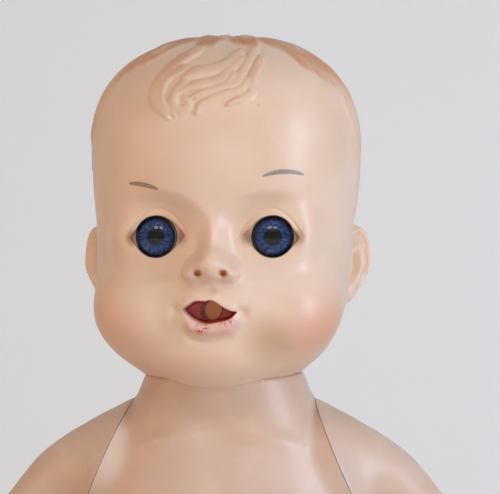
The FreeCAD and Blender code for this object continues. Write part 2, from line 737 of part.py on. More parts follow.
def make_torso():
    """Front and back shells, with the neck spigot, joint faces, hatch, grille and screw bosses."""
    outside = stacked(torso_levels()).fuse(joint_stubs(0.0)).cut(joint_trims(0.0))
    inside = stacked(torso_levels(), SHELL).fuse(joint_stubs(SHELL)).cut(joint_trims(SHELL))
    panel_half = worked_out(DOOR_WIDTH) / 2 + size("flange_margin") + size("panel_margin")
    panel_high = worked_out(DOOR_HEIGHT) / 2 + size("flange_margin") + size("panel_margin")
    hatch_level = size("box_level") + worked_out(DOOR_RAISE)
    panel = solid_box(
        Vector(-panel_half, 20, hatch_level - panel_high),
        Vector(panel_half, HATCH, hatch_level + panel_high),
    )
    proud = solid_box(
        Vector(-panel_half, HATCH, hatch_level - panel_high),
        Vector(panel_half, HATCH + 10, hatch_level + panel_high),
    )
    outside = outside.fuse(panel).cut(proud)
    shell = outside.cut(inside)

    spigot = Part.makeCylinder(
        size("spigot_radius"),
        VINYL + 2 * size("limb_gap") + size("collar_height"),
        Vector(0, 0, NECK_TOP),
    )
    collar = Part.makeCylinder(
        size("collar_radius"),
        size("collar_height"),
        Vector(0, 0, NECK_TOP + VINYL + 2 * size("limb_gap")),
    )
    throat = Part.makeCylinder(worked_out(SPIGOT_BORE), 40, Vector(0, 0, NECK_TOP - SHELL - 1))
    shell = shell.fuse([spigot, collar]).cut(throat)

    joint_hole = size("plug_radius") + size("pin_fit")
    holes = []
    for side in (-1, 1):
        for centre, axis in (shoulder(side), hip(side)):
            holes.append(Part.makeCylinder(joint_hole, 3 * SHELL, centre - axis * 2 * SHELL, axis))
    nozzle_seat = Part.makeCylinder(
        size("nozzle_radius") - 1.5 + size("pin_fit"),
        3 * SHELL,
        Vector(0, -size("drain_forward"), -SHELL),
    )
    shell = shell.cut(holes + [nozzle_seat])

    bosses = []
    for place in shell_screw_places():
        post = Part.makeCylinder(size("boss_radius"), 2 * FAR, place - BACK * FAR, BACK)
        bosses.append(post.common(outside))
    shell = shell.fuse(bosses)

    front_half = solid_box(Vector(-FAR, -FAR, -FAR), Vector(FAR, 0, FAR))
    back_half = solid_box(Vector(-FAR, 0, -FAR), Vector(FAR, FAR, FAR))
    pilot_depth = size("shell_screw_length") / 2 + 2
    pilots = [
        Part.makeCylinder(size("screw_radius") + 0.05, pilot_depth, place - BACK * pilot_depth, BACK)
        for place in shell_screw_places()
    ]
    front = shell.common(front_half).cut(pilots)
    set_shape("torso_front", front)
    set_shape("torso_back", finish_back(shell.common(back_half), inside))


def finish_back(back, inside):
    """Cuts the hatch, grille, switch slot and screw wells, and adds the speaker's seat."""
    hatch_level = size("box_level") + worked_out(DOOR_RAISE)
    gap = size("seat_gap")
    flange_half = worked_out(DOOR_WIDTH) / 2 + size("flange_margin") + gap
    flange_high = worked_out(DOOR_HEIGHT) / 2 + size("flange_margin") + gap
    recess = solid_box(
        Vector(-flange_half, BOX_FACE - gap / 2, hatch_level - flange_high),
        Vector(flange_half, HATCH + 10, hatch_level + flange_high),
    )
    box_half = worked_out(ROOM_WIDTH) / 2 + size("box_wall") + gap
    box_high = worked_out(ROOM_HEIGHT) / 2 + size("box_wall") + gap
    mouth = solid_box(
        Vector(-box_half, 10, size("box_level") - box_high),
        Vector(box_half, HATCH + 10, size("box_level") + box_high),
    )
    pad_depth = 4.0
    pad = solid_box(
        Vector(-flange_half, BOX_FACE - pad_depth, hatch_level - flange_high),
        Vector(flange_half, BOX_FACE, hatch_level + flange_high),
    )
    back = back.fuse(pad).cut([recess, mouth])
    screw_well = worked_out(f"Dims.box_level + {ROOM_HEIGHT} / 2 + Dims.door_head / 2")
    well = Part.makeCylinder(3.2, 20, Vector(0, BOX_FACE - 10, screw_well), BACK)
    back = back.cut(well)

    centre = Vector(0, size("speaker_plane"), size("speaker_level"))
    seat_outer = size("speaker_radius") + gap + 2.0
    lip = size("speaker_rim") + 1.0
    seat = Part.makeCylinder(seat_outer, FAR, centre - BACK * lip, BACK)
    seat = seat.cut(
        [
            Part.makeCylinder(size("speaker_radius") + gap, lip, centre - BACK * lip, BACK),
            Part.makeCylinder(size("speaker_radius") - 2.0, FAR, centre, BACK),
        ]
    )
    back = back.fuse(seat.common(inside))
    wells = []
    pitch = size("grille_pitch")
    for across in range(-2, 3):
        for up in range(-2, 3):
            x = pitch * (across + up / 2)
            z = pitch * up * math.sqrt(3) / 2
            if math.hypot(x, z) < 2.2 * pitch:
                start = centre + Vector(x, 1, z)
                wells.append(Part.makeCylinder(size("grille_hole"), 30, start, BACK))
    slot_width = size("slider_width") + size("switch_travel") + 2 * gap
    wells.append(
        solid_box(
            Vector(-slot_width / 2, 20, size("switch_level") - 1.6 - gap),
            Vector(slot_width / 2, 60, size("switch_level") + 1.6 + gap),
        )
    )
    head_depth = size("shell_screw_length") / 2
    for place in shell_screw_places():
        wells.append(Part.makeCylinder(size("screw_radius") + 0.3, 60, place, BACK))
        well_start = place + BACK * head_depth
        wells.append(Part.makeCylinder(size("screw_head_radius") + 0.3, 60, well_start, BACK))
    return back.cut(wells)


# ---------------------------------------------------------------- limbs


def mirrored(shape):
    """The same shape on the doll's other side."""
    return shape.mirror(Vector(), LEFT)


def plug(centre, axis):
    """The flanged plug that holds a limb in the torso, with its open bore."""
    gap = size("limb_gap")
    neck_length = SHELL + 2 * gap
    face = centre + axis * gap
    neck = Part.makeCylinder(size("plug_radius"), neck_length + 1, face - axis * neck_length, axis)
    flange_start = face - axis * (neck_length + size("plug_flange"))
    flange = Part.makeCylinder(size("plug_flange_radius"), size("plug_flange"), flange_start, axis)
    bore_length = size("plug_flange") + neck_length + VINYL + 2
    bore = Part.makeCylinder(size("plug_bore"), bore_length, flange_start - axis, axis)
    return neck, flange, bore


def limb_shell(root, stations, hollow_stations, extras):
    """A limb with its plug, hollow through its first stations.  Extras are fused to the outside."""
    centre, axis = root
    outside = lofted_limb(stations)
    if extras:
        outside = outside.fuse(extras)
    hollow = lofted_limb(stations[:1] + stations[2:hollow_stations], VINYL)
    neck, flange, bore = plug(centre, axis)
    return outside.cut(hollow).fuse([neck, flange]).cut(bore)


def make_arms():
    """Chubby arms that hang a little outwards, with the forearms bent forwards."""
    centre, axis = shoulder(1)
    reach = unit(Vector(0.588, 0.0, -0.809))
    face = centre + axis * size("limb_gap")
    radius = size("upper_arm_radius")
    stations = root_stations(face, axis, reach, size("shoulder_radius"), radius)
    armpit = stations[-1][0]
    palm_flat = Vector(0.72, 0.15, 0.68)
    for run, heading, half_flat, half_thick in (
        ((8.0, -0.5, -11.0), (0.55, -0.08, -0.83), 1.00, 1.00),
        ((10.5, -3.5, -14.0), (0.48, -0.34, -0.81), 0.96, 0.96),
        ((8.0, -9.0, -10.0), (0.33, -0.72, -0.61), 0.96, 0.96),
        ((3.0, -11.0, -8.5), (0.16, -0.80, -0.58), 0.93, 0.92),
        ((1.6, -12.5, -8.8), (0.10, -0.82, -0.56), 0.66, 0.62),
        ((1.0, -6.5, -4.4), (0.08, -0.83, -0.55), 0.66, 0.52),
        ((0.8, -9.5, -6.0), (0.06, -0.85, -0.52), 0.88, 0.56),
        ((0.4, -10.0, -6.0), (0.04, -0.87, -0.49), 0.84, 0.48),
        ((0.3, -9.0, -5.0), (0.02, -0.89, -0.45), 0.70, 0.42),
        ((0.2, -6.0, -3.2), (0.02, -0.90, -0.44), 0.44, 0.30),
    ):
        armpit = armpit + Vector(*run)
        stations.append(
            (armpit, unit(Vector(*heading)), radius * half_flat, radius * half_thick, palm_flat)
        )
    knuckles = stations[-4][0]
    thumb_root = knuckles + Vector(-7.0, 3.0, -4.5)
    thumb_tip = knuckles + Vector(-11.5, -9.0, -9.0)
    run = thumb_tip - thumb_root
    thumb = Part.makeCone(4.4, 3.6, run.Length, thumb_root, run)
    thumb = thumb.fuse(Part.makeSphere(3.6, thumb_tip))
    left = limb_shell((centre, axis), stations, 10, [thumb])
    set_shape("left_arm", left)
    set_shape("right_arm", mirrored(left))


def make_legs():
    """Bent baby legs that lie forwards on the floor, toes up."""
    centre, axis = hip(1)
    reach = unit(Vector(0.44, -0.898, -0.02))
    face = centre + axis * size("limb_gap")
    radius = size("thigh_radius")
    stations = root_stations(face, axis, reach, size("hip_radius"), radius)
    middle = stations[-1][0]
    for run, heading, share in (
        ((7.5, -17.0, -3.0), (0.36, -0.92, -0.14), 0.97),
        ((5.0, -18.5, -1.8), (0.20, -0.97, -0.10), 0.89),
        ((1.0, -17.0, -0.8), (-0.04, -0.99, -0.04), 0.82),
        ((-2.0, -18.5, -2.6), (-0.12, -0.98, -0.10), 0.79),
        ((-2.6, -17.5, -5.4), (-0.13, -0.96, -0.18), 0.63),
    ):
        middle = middle + Vector(*run)
        girth = radius * share
        stations.append((middle, unit(Vector(*heading)), girth, girth, LEFT))

    instep = Vector(middle.x - 1.0, middle.y - 9.0, 27.0)
    for angle, half_wide, half_deep in (
        (-2, 12.4, 12.2),
        (22, 12.4, 14.2),
        (48, 12.2, 14.8),
        (76, 12.6, 13.0),
        (96, 13.2, 11.4),
    ):
        turn = math.radians(angle)
        outwards = Vector(0, -math.sin(turn), -math.cos(turn))
        normal = Vector(0, -math.cos(turn), math.sin(turn))
        stations.append((instep + outwards * half_deep, normal, half_wide, half_deep, LEFT))
    toes = stations[-1][0]
    for run, half_wide, half_deep in (
        ((0.4, -0.6, 9.0), 13.6, 9.6),
        ((1.0, -1.8, 18.0), 13.4, 7.6),
        ((1.2, -2.4, 23.0), 10.6, 5.4),
        ((1.2, -2.6, 25.5), 6.0, 3.0),
    ):
        stations.append((toes + Vector(*run), unit(Vector(0, 0.05, 1)), half_wide, half_deep, LEFT))
    left = limb_shell((centre, axis), stations, 11, [])
    set_shape("left_leg", left)
    set_shape("right_leg", mirrored(left))


# ---------------------------------------------------------------- battery box and door


def hatch_place(depth):
    """A point on the hatch's axis at a depth from the middle plane, at the cells' level."""
    return Vector(0, depth, size("box_level"))


def make_battery_box():
    """Box for two upright cells, with a flange in the back's panel and posts for the board."""
    box = new_body("battery_box", hatch_place(HATCH), facing(BACK, -LEFT))
    flange = new_sketch(box)
    add_rectangle(
        flange,
        f"{DOOR_WIDTH} + 2 * Dims.flange_margin",
        f"{DOOR_HEIGHT} + 2 * Dims.flange_margin",
        up=DOOR_RAISE,
    )
    extrude(box, flange, "Dims.flange_thickness", reverse=True)
    round_edges(box, upright, "Dims.flange_margin * 0.8")
    walls = new_sketch(box)
    add_rectangle(
        walls,
        f"{ROOM_WIDTH} + 2 * Dims.box_wall",
        f"{ROOM_HEIGHT} + 2 * Dims.box_wall",
    )
    floor = f"(Dims.door_thickness + Dims.seal_thickness + {ROOM_DEPTH})"
    extrude(box, walls, f"{floor} + Dims.box_wall", reverse=True)
    room = new_sketch(box)
    add_rectangle(room, ROOM_WIDTH, ROOM_HEIGHT)
    extrude(box, room, floor, cut=True)
    recess = new_sketch(box)
    add_rectangle(
        recess,
        f"{DOOR_WIDTH} + 2 * Dims.door_gap",
        f"{DOOR_HEIGHT} + 2 * Dims.door_gap",
        up=DOOR_RAISE,
    )
    extrude(box, recess, "Dims.door_thickness + Dims.seal_thickness", cut=True)
    posts = new_sketch(box, offset=f"-{floor} - Dims.box_wall")
    for across in ("-", ""):
        for up in ("-", ""):
            add_circle(
                posts,
                "Dims.post_radius",
                f"{across}(Dims.board_width / 2 - Dims.post_inset)",
                f"{up}(Dims.board_height / 2 - Dims.post_inset)",
            )
    extrude(box, posts, "Dims.board_stand", reverse=True)
    pivots = new_sketch(box, "YZ_Plane", offset=f"-{DOOR_WIDTH} / 2 - Dims.door_pin_length - 0.3")
    pin_depth = "-Dims.door_thickness / 2"
    pin_level = f"(Dims.door_thickness / 2 - {ROOM_HEIGHT} / 2 - Dims.door_overlap)"
    add_circle(pivots, "Dims.door_pin_radius + Dims.pin_fit", pin_level, pin_depth)
    extrude(
        box, pivots, f"{DOOR_WIDTH} + 2 * Dims.door_pin_length + 0.6", cut=True, reverse=True
    )
    thread = new_sketch(box)
    add_circle(
        thread,
        "Dims.screw_radius + 0.45",
        up=f"{ROOM_HEIGHT} / 2 + Dims.door_head / 2 + Dims.door_overlap / 4",
    )
    extrude(box, thread, "Dims.flange_thickness + 1", cut=True)


def make_battery_door():
    """Door that swings on two pins at its lower edge, and the screw that holds its upper edge."""
    door = new_body("battery_door", hatch_place(HATCH), facing(BACK, -LEFT))
    plate = new_sketch(door)
    add_rectangle(plate, DOOR_WIDTH, DOOR_HEIGHT, up=DOOR_RAISE)
    extrude(door, plate, "Dims.door_thickness", reverse=True)
    low = worked_out(f"{DOOR_RAISE} - {DOOR_HEIGHT} / 2")

    def lower_edge(edge):
        middle = edge.CenterOfMass
        return abs(middle.y - low) < 1e-4 and edge.Length > 10

    round_edges(door, lower_edge, "Dims.door_thickness * 0.49")
    pins = new_sketch(door, "YZ_Plane", offset=f"-{DOOR_WIDTH} / 2 - Dims.door_pin_length")
    pin_level = f"(Dims.door_thickness / 2 - {ROOM_HEIGHT} / 2 - Dims.door_overlap)"
    add_circle(pins, "Dims.door_pin_radius", pin_level, "-Dims.door_thickness / 2")
    extrude(door, pins, f"{DOOR_WIDTH} + 2 * Dims.door_pin_length")
    hole = new_sketch(door)
    screw_level = f"{ROOM_HEIGHT} / 2 + Dims.door_head / 2 + Dims.door_overlap / 4"
    add_circle(hole, "Dims.screw_radius + 0.2", up=screw_level)
    extrude(door, hole, "Dims.door_thickness + 1", cut=True)

    lift = worked_out(screw_level)
    screw = new_body("door_screw", hatch_place(HATCH) + UP * lift, facing(BACK))
    revolve(screw, screw_outline("Dims.flange_thickness + 0.5", "0.05"))

    seal = new_body("door_seal", hatch_place(HATCH), facing(BACK, -LEFT))
    depth = "-Dims.door_thickness - Dims.seal_thickness"
    outer = new_sketch(seal, offset=depth)
    add_rectangle(outer, f"{DOOR_WIDTH} - 0.4", f"{ROOM_HEIGHT} + 2 * Dims.door_overlap - 0.8")
    extrude(seal, outer, "Dims.seal_thickness - 0.1")
    inner = new_sketch(seal)
    add_rectangle(inner, ROOM_WIDTH, ROOM_HEIGHT)
    extrude(seal, inner, "Dims.door_thickness + 2 * Dims.seal_thickness", cut=True)


def screw_outline(length, lift):
    """Half outline of a pan-head screw with a socket, whose head sits on its own XY plane."""
    return [
        ("0", f"{lift} + Dims.screw_head * 0.4"),
        ("Dims.screw_head_radius * 0.4", f"{lift} + Dims.screw_head * 0.4"),
        ("Dims.screw_head_radius * 0.5", f"{lift} + Dims.screw_head"),
        ("Dims.screw_head_radius * 0.8", f"{lift} + Dims.screw_head"),
        ("Dims.screw_head_radius", f"{lift} + Dims.screw_head * 0.6"),
        ("Dims.screw_head_radius", lift),
        ("Dims.screw_radius", lift),
        ("Dims.screw_radius", f"-({length}) + Dims.screw_radius"),
        ("0", f"-({length})"),
    ]


def grouped(label, pieces):
    """One node that holds several identical separate solids."""
    set_shape(label, Part.makeCompound(pieces))


def make_cells():
    """Two cells, their flat contacts and their springs."""
    middle = HATCH - size("door_thickness") - size("seal_thickness") - size("cell_radius") - 0.6
    for side, word in ((1, "left"), (-1, "right")):
        cell = new_body(
            word + "_battery_cell",
            Vector(side * (size("cell_radius") + 0.25), middle, size("box_level") - side * 1.2),
            facing(UP if side > 0 else -UP),
        )
        revolve(
            cell,
            [
                ("0", "-Dims.cell_length / 2"),
                ("Dims.cell_radius * 0.93", "-Dims.cell_length / 2"),
                ("Dims.cell_radius", "-Dims.cell_length / 2 + 0.5"),
                ("Dims.cell_radius", "Dims.cell_length / 2 - 0.6"),
                ("Dims.cell_radius * 0.9", "Dims.cell_length / 2"),
                ("Dims.cell_radius * 0.4", "Dims.cell_length / 2"),
                ("Dims.cell_radius * 0.4", "Dims.cell_length / 2 + 1.5"),
                ("0", "Dims.cell_length / 2 + 1.5"),
            ],
        )
    plates, springs = [], []
    half_room = worked_out(ROOM_HEIGHT) / 2
    plate_thickness, plate_half = 0.4, 5.5
    strip, leaf_half, leaf_width, leaf_gap = 0.4, 4.4, 6.0, 0.05
    for side in (-1, 1):
        x = side * (size("cell_radius") + 0.25)
        for end in (-1, 1):
            z = size("box_level") + end * (half_room - plate_thickness / 2 - 0.05)
            plates.append(
                solid_box(
                    Vector(x - plate_half, middle - plate_half, z - plate_thickness / 2),
                    Vector(x + plate_half, middle + plate_half, z + plate_thickness / 2),
                )
            )
        # a leaf spring: a strip folded back over itself, from the contact to the cell
        end = -side
        cell_end = size("box_level") - side * 1.2 + end * size("cell_length") / 2
        wall_end = size("box_level") + end * (half_room - plate_thickness - 0.05)
        rise = abs(wall_end - cell_end) - 2 * leaf_gap
        profile = [
            (-leaf_half, 0),
            (leaf_half - 1.0, 0),
            (leaf_half - 0.2, strip),
            (leaf_half - 0.2, rise / 2),
            (-leaf_half + 1.4, rise),
            (-leaf_half + 0.4, rise - 0.2),
            (-leaf_half + 0.4, rise - strip - 0.1),
            (-leaf_half + 1.4, rise - strip),
            (leaf_half - 1.0, rise / 2 - strip / 2),
            (leaf_half - 1.0, strip),
            (-leaf_half, strip),
        ]
        base = wall_end - end * leaf_gap
        outline = [Vector(x + u, middle - leaf_width / 2, base - end * v) for u, v in profile]
        spring = Part.Face(Part.makePolygon(outline + outline[:1])).extrude(BACK * leaf_width)
        springs.append(spring)
    grouped("battery_contacts", plates)
    grouped("battery_springs", springs)


# ---------------------------------------------------------------- voice unit


def make_board():
    """Circuit board on the battery box's posts, with its parts and the tilt switch."""
    centre = Vector(0, BOARD_FACE, size("box_level"))
    board = new_body("circuit_board", centre, facing(BACK, -LEFT))
    plate = new_sketch(board)
    add_rectangle(plate, "Dims.board_width", "Dims.board_height")
    extrude(board, plate, "Dims.board_thickness")
    holes = new_sketch(board)
    for across in ("-", ""):
        for up in ("-", ""):
            add_circle(
                holes,
                "Dims.screw_radius * 0.7 + 0.1",
                f"{across}(Dims.board_width / 2 - Dims.post_inset)",
                f"{up}(Dims.board_height / 2 - Dims.post_inset)",
            )
    extrude(board, holes, "Dims.board_thickness", cut=True, reverse=True)

    head_radius, head_rise = 1.7, 0.9
    heads = []
    for x in (-1, 1):
        for z in (-1, 1):
            place = centre + Vector(
                x * (size("board_width") / 2 - size("post_inset")),
                0,
                z * (size("board_height") / 2 - size("post_inset")),
            )
            head = Part.makeCylinder(head_radius, head_rise, place - BACK * (head_rise + 0.02), BACK)
            shank = Part.makeCylinder(
                size("screw_radius") * 0.7, size("board_thickness"), place - BACK * 0.1, BACK
            )
            heads.append(head.fuse(shank))
    grouped("board_screws", heads)

    chip = new_body("voice_chip", centre + Vector(0, -0.05, 2), facing(FRONT))
    revolve(
        chip,
        [("0", "0"), ("6.0", "0"), ("5.6", "0.9"), ("4.2", "1.7"), ("2.0", "2.1"), ("0", "2.2")],
    )
    can = Part.makeCylinder(2.5, 5.5, centre + Vector(8, -0.05, -13), FRONT)
    grouped("capacitors", [can, can.translated(Vector(-7, 0, 0))])

    cage_place = centre + Vector(-6, -0.05, 16)
    wall, radius = 0.8, size("ball_radius") + size("pin_fit")
    length = 2 * size("ball_radius") + size("ball_travel") + 0.2
    middle = cage_place + FRONT * (radius + wall)
    low = middle - UP * (length / 2)
    cage = solid_box(
        low - Vector(radius + wall, radius + wall, wall),
        low + Vector(radius + wall, radius + wall, length + wall),
    )
    cage = cage.cut(Part.makeCylinder(radius, length, low, UP))
    set_shape("tilt_switch_case", cage)
    ball = doc.addObject("Part::Sphere", "ball")
    ball.setExpression("Radius", "Dims.ball_radius")
    ball.Placement = Placement(low + UP * (size("ball_radius") + 0.1), Rotation())
    keep(ball, "tilt_switch_ball")


def make_speaker():
    """Speaker behind the grille: frame, magnet, cone, and the ring that clamps it."""
    centre = Vector(0, size("speaker_plane"), size("speaker_level"))
    frame = new_body("speaker_frame", centre, facing(FRONT))
    revolve(
        frame,
        [
            ("Dims.speaker_radius", "0.05"),
            ("Dims.speaker_radius", "Dims.speaker_rim"),
            ("Dims.speaker_radius - 2.5", "Dims.speaker_rim"),
            ("Dims.magnet_radius + 1", "Dims.speaker_depth"),
            ("3", "Dims.speaker_depth"),
            ("3", "Dims.speaker_depth - 1.2"),
            ("Dims.magnet_radius", "Dims.speaker_depth - 1.2"),
            ("Dims.speaker_radius - 3.8", "Dims.speaker_rim - 0.6"),
            ("Dims.speaker_radius - 2.6", "0.05"),
        ],
    )
    magnet = doc.addObject("Part::Cylinder", "magnet")
    magnet.setExpression("Radius", "Dims.magnet_radius")
    magnet.setExpression("Height", "Dims.magnet_height")
    magnet.Placement = Placement(centre + FRONT * (size("speaker_depth") + 0.02), facing(FRONT))
    keep(magnet, "speaker_magnet")

    cone = new_body("speaker_cone", centre, facing(FRONT))
    revolve(
        cone,
        [
            ("Dims.speaker_radius - 2.9", "0.1"),
            ("Dims.speaker_radius - 4.4", "0.9"),
            ("5", "5.4"),
            ("0", "4.2"),
            ("0", "3.8"),
            ("5", "5.0"),
            ("Dims.speaker_radius - 4.6", "0.5"),
            ("Dims.speaker_radius - 3.1", "-0.3"),
        ],
    )
    clamp = new_body(
        "speaker_clamp", centre + FRONT * (size("speaker_rim") + 1.05), facing(FRONT)
    )
    plate = new_sketch(clamp)
    add_circle(plate, "Dims.speaker_radius + Dims.seat_gap + 2")
    add_circle(plate, "Dims.speaker_radius - 2")
    extrude(clamp, plate, "1.4")


def make_power_switch():
    """Slide switch in the back, below the grille."""
    level = size("switch_level")
    wall_inside = 31.2
    case = new_body("power_switch_case", Vector(0, wall_inside, level), facing(FRONT))
    block = new_sketch(case)
    add_rectangle(block, "Dims.slider_width + Dims.switch_travel + 7.0", "7.0")
    extrude(case, block, "6.0")
    track = new_sketch(case)
    add_rectangle(track, "Dims.slider_width + Dims.switch_travel + 0.4", "3.6")
    extrude(case, track, "2.2", cut=True, reverse=True)

    slider = new_body(
        "power_slider",
        Vector(-size("switch_travel") / 2, wall_inside - 2.0, level),
        facing(BACK, -LEFT),
    )
    knob = new_sketch(slider)
    add_rectangle(knob, "Dims.slider_width", "3.2")
    extrude(slider, knob, "8.0")


def make_wires():
    """Two leads from the speaker's basket to the circuit board."""
    wire = 0.7
    basket = size("speaker_plane") - size("speaker_depth")
    start = Vector(5, basket + 2.3, size("speaker_level") - size("speaker_radius") * 2 / 3)
    board_top = Vector(9, BOARD_FACE - 0.3, size("box_level") + 18)
    leads = []
    for shift in (0.0, 3.0):
        aside = Vector(shift, 0, 0)
        route = [
            start + aside,
            start + aside + Vector(0, -9, -4),
            start + aside + Vector(1, -12, -18),
            board_top + aside + Vector(0, -6, 10),
            board_top + aside + Vector(0, -5, 0),
            board_top + aside,
        ]
        leads.append(swept(route, wire))
    grouped("speaker_leads", leads)


# ---------------------------------------------------------------- drain and screws


def make_drain():
    """Funnel under the neck, drain tube, and the nozzle in the seat."""
    funnel = new_body("neck_funnel", Vector(0, 0, NECK_TOP), Rotation())
    revolve(
        funnel,
        [
            (f"{SPIGOT_BORE} - Dims.seat_gap", "3"),
            (f"{SPIGOT_BORE} - Dims.seat_gap", "-6"),
            ("Dims.drain_radius + 1.6", "-22"),
            ("Dims.drain_radius + 1.6", "-32"),
            ("Dims.drain_radius + Dims.pin_fit", "-32"),
            ("Dims.drain_radius + Dims.pin_fit", "-27"),
            ("Dims.drain_bore", "-27"),
            ("Dims.drain_bore", "-22.5"),
            (f"{SPIGOT_BORE} - Dims.seat_gap - 1.6", "-6.6"),
            (f"{SPIGOT_BORE} - Dims.seat_gap - 1.6", "3"),
        ],
    )
    forward = size("drain_forward")
    top = NECK_TOP - 27.1
    nozzle_top = size("nozzle_height")
    route = [
        Vector(0, 0, top),
        Vector(0, 0, top - 24),
        Vector(0, -forward, top - 60),
        Vector(0, -forward, nozzle_top - 3.9),
    ]
    set_shape("drain_tube", swept(route, size("drain_radius"), size("drain_bore")))

    nozzle = new_body("drain_nozzle", Vector(0, -forward, 0), Rotation())
    revolve(
        nozzle,
        [
            ("Dims.drain_bore", "0.4"),
            ("Dims.nozzle_radius - 1.5", "0.4"),
            ("Dims.nozzle_radius - 1.5", "Dims.torso_wall + 0.1"),
            ("Dims.nozzle_radius", "Dims.torso_wall + 0.1"),
            ("Dims.nozzle_radius", "Dims.torso_wall + 1.6"),
            ("Dims.drain_radius + 1.4", "Dims.torso_wall + 1.6"),
            ("Dims.drain_radius + 1.4", "Dims.nozzle_height"),
            ("Dims.drain_radius + Dims.pin_fit", "Dims.nozzle_height"),
            ("Dims.drain_radius + Dims.pin_fit", "Dims.nozzle_height - 4"),
            ("Dims.drain_bore", "Dims.nozzle_height - 4"),
        ],
    )


def make_shell_screws():
    """The four screws that join the torso shells."""
    length, head = size("shell_screw_length"), size("screw_head")
    screws = []
    for place in shell_screw_places():
        seat = place + BACK * (length / 2 + 0.05)
        shank = Part.makeCylinder(size("screw_radius"), length, seat - BACK * length, BACK)
        cap = Part.makeCylinder(size("screw_head_radius"), head, seat, BACK)
        socket = Part.makeCylinder(size("screw_head_radius") * 0.4, head, seat + BACK * 0.7, BACK)
        screws.append(shank.fuse(cap).cut(socket))
    grouped("torso_screws", screws)


# ---------------------------------------------------------------- build and export


def main():
    make_head_shell()
    make_eye(1, "left")
    make_eye(-1, "right")
    make_mouth()
    make_torso()
    make_arms()
    make_legs()
    make_battery_box()
    make_battery_door()
    make_cells()
    make_board()
    make_speaker()
    make_power_switch()
    make_wires()
    make_drain()
    make_shell_screws()
    doc.recompute()

    for feature in doc.Objects:
        faults = {"Invalid", "Error"} & set(feature.State)
        if faults:
            raise RuntimeError(f"{feature.Label} is {faults}")
    for feature in PARTS:
        if feature.Shape.isNull() or not feature.Shape.isValid():
            raise RuntimeError(f"{feature.Label} has a bad shape")
        if not feature.Shape.Solids:
            raise RuntimeError(f"{feature.Label} has no solid")

    os.makedirs("parts", exist_ok=True)
    for feature in PARTS:
        feature.Shape.exportStep(f"parts/{feature.Label}.step")
        print(f"{feature.Label}: {len(feature.Shape.Solids)} solid, {feature.Shape.Volume:.0f} mm3")


main()
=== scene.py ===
import math
from contextlib import contextmanager

import bmesh
import bpy
import numpy as np
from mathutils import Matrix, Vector


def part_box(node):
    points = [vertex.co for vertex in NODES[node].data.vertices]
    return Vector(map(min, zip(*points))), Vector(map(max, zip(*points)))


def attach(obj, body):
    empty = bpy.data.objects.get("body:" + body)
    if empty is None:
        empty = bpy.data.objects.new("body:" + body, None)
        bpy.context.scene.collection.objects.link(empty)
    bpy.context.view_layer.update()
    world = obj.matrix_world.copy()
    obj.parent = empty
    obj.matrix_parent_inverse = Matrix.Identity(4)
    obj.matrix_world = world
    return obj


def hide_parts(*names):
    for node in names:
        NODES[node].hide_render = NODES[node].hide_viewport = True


# A vintage-style vinyl baby doll.  Lengths in the modelling code are millimetres, and each mesh is
# turned to metres when it is made.  The doll faces -Y, its left side is +X, and +Z is up.

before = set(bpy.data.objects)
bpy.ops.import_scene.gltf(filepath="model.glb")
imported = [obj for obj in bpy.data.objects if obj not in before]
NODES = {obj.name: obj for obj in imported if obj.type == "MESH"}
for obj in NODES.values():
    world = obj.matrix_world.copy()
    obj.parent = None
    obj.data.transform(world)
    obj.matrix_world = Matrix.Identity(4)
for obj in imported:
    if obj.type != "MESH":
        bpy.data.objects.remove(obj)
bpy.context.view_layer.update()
MM = 0.001


def box_mm(node):
    """Lowest and highest corner of a CAD node, in millimetres."""
    low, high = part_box(node)
    return np.array(low) / MM, np.array(high) / MM


def middle_mm(node):
    """Middle of a CAD node's box, in millimetres."""
    low, high = box_mm(node)
    return (low + high) / 2


CROWN = box_mm("head_shell")[1][2]
HEAD_HEIGHT = 126.8
EYE_LEFT = middle_mm("left_eye_iris")
EYE_RIGHT = middle_mm("right_eye_iris")
CUP_LOW, CUP_HIGH = box_mm("mouth_cup")
MOUTH_Z = (CUP_LOW[2] + CUP_HIGH[2]) / 2
EYE_X, EYE_Y, EYE_Z = EYE_LEFT
FOOT = CROWN - HEAD_HEIGHT
EYE_TURN = math.radians(7.0)
EYE_RADIUS = 7.0
HEAD_LEAN = 0.02

# ---------------------------------------------------------------- number helpers


def ramp(edge0, edge1, x):
    """A soft step from 0 at edge0 to 1 at edge1."""
    t = np.clip((x - edge0) / (edge1 - edge0), 0.0, 1.0)
    return t * t * (3 - 2 * t)


def bell(x, width):
    """A soft bump of height 1 round zero."""
    return np.exp(-((x / width) ** 2))


def blend_min(a, b, k):
    """The smaller of two fields, with a rounded change from one to the other."""
    h = np.maximum(k - np.abs(a - b), 0.0) / k
    return np.minimum(a, b) - h * h * k * 0.25


def curve_through(xs, ys):
    """A smooth function through a few chosen points."""
    xs, ys = np.asarray(xs, float), np.asarray(ys, float)
    slopes = np.gradient(ys, xs)

    def value(x):
        x = np.clip(x, xs[0], xs[-1])
        i = np.clip(np.searchsorted(xs, x) - 1, 0, len(xs) - 2)
        h = xs[i + 1] - xs[i]
        t = (x - xs[i]) / h
        return (
            ys[i] * (1 + 2 * t) * (1 - t) ** 2
            + slopes[i] * h * t * (1 - t) ** 2
            + ys[i + 1] * t * t * (3 - 2 * t)
            + slopes[i + 1] * h * t * t * (t - 1)
        )

    return value


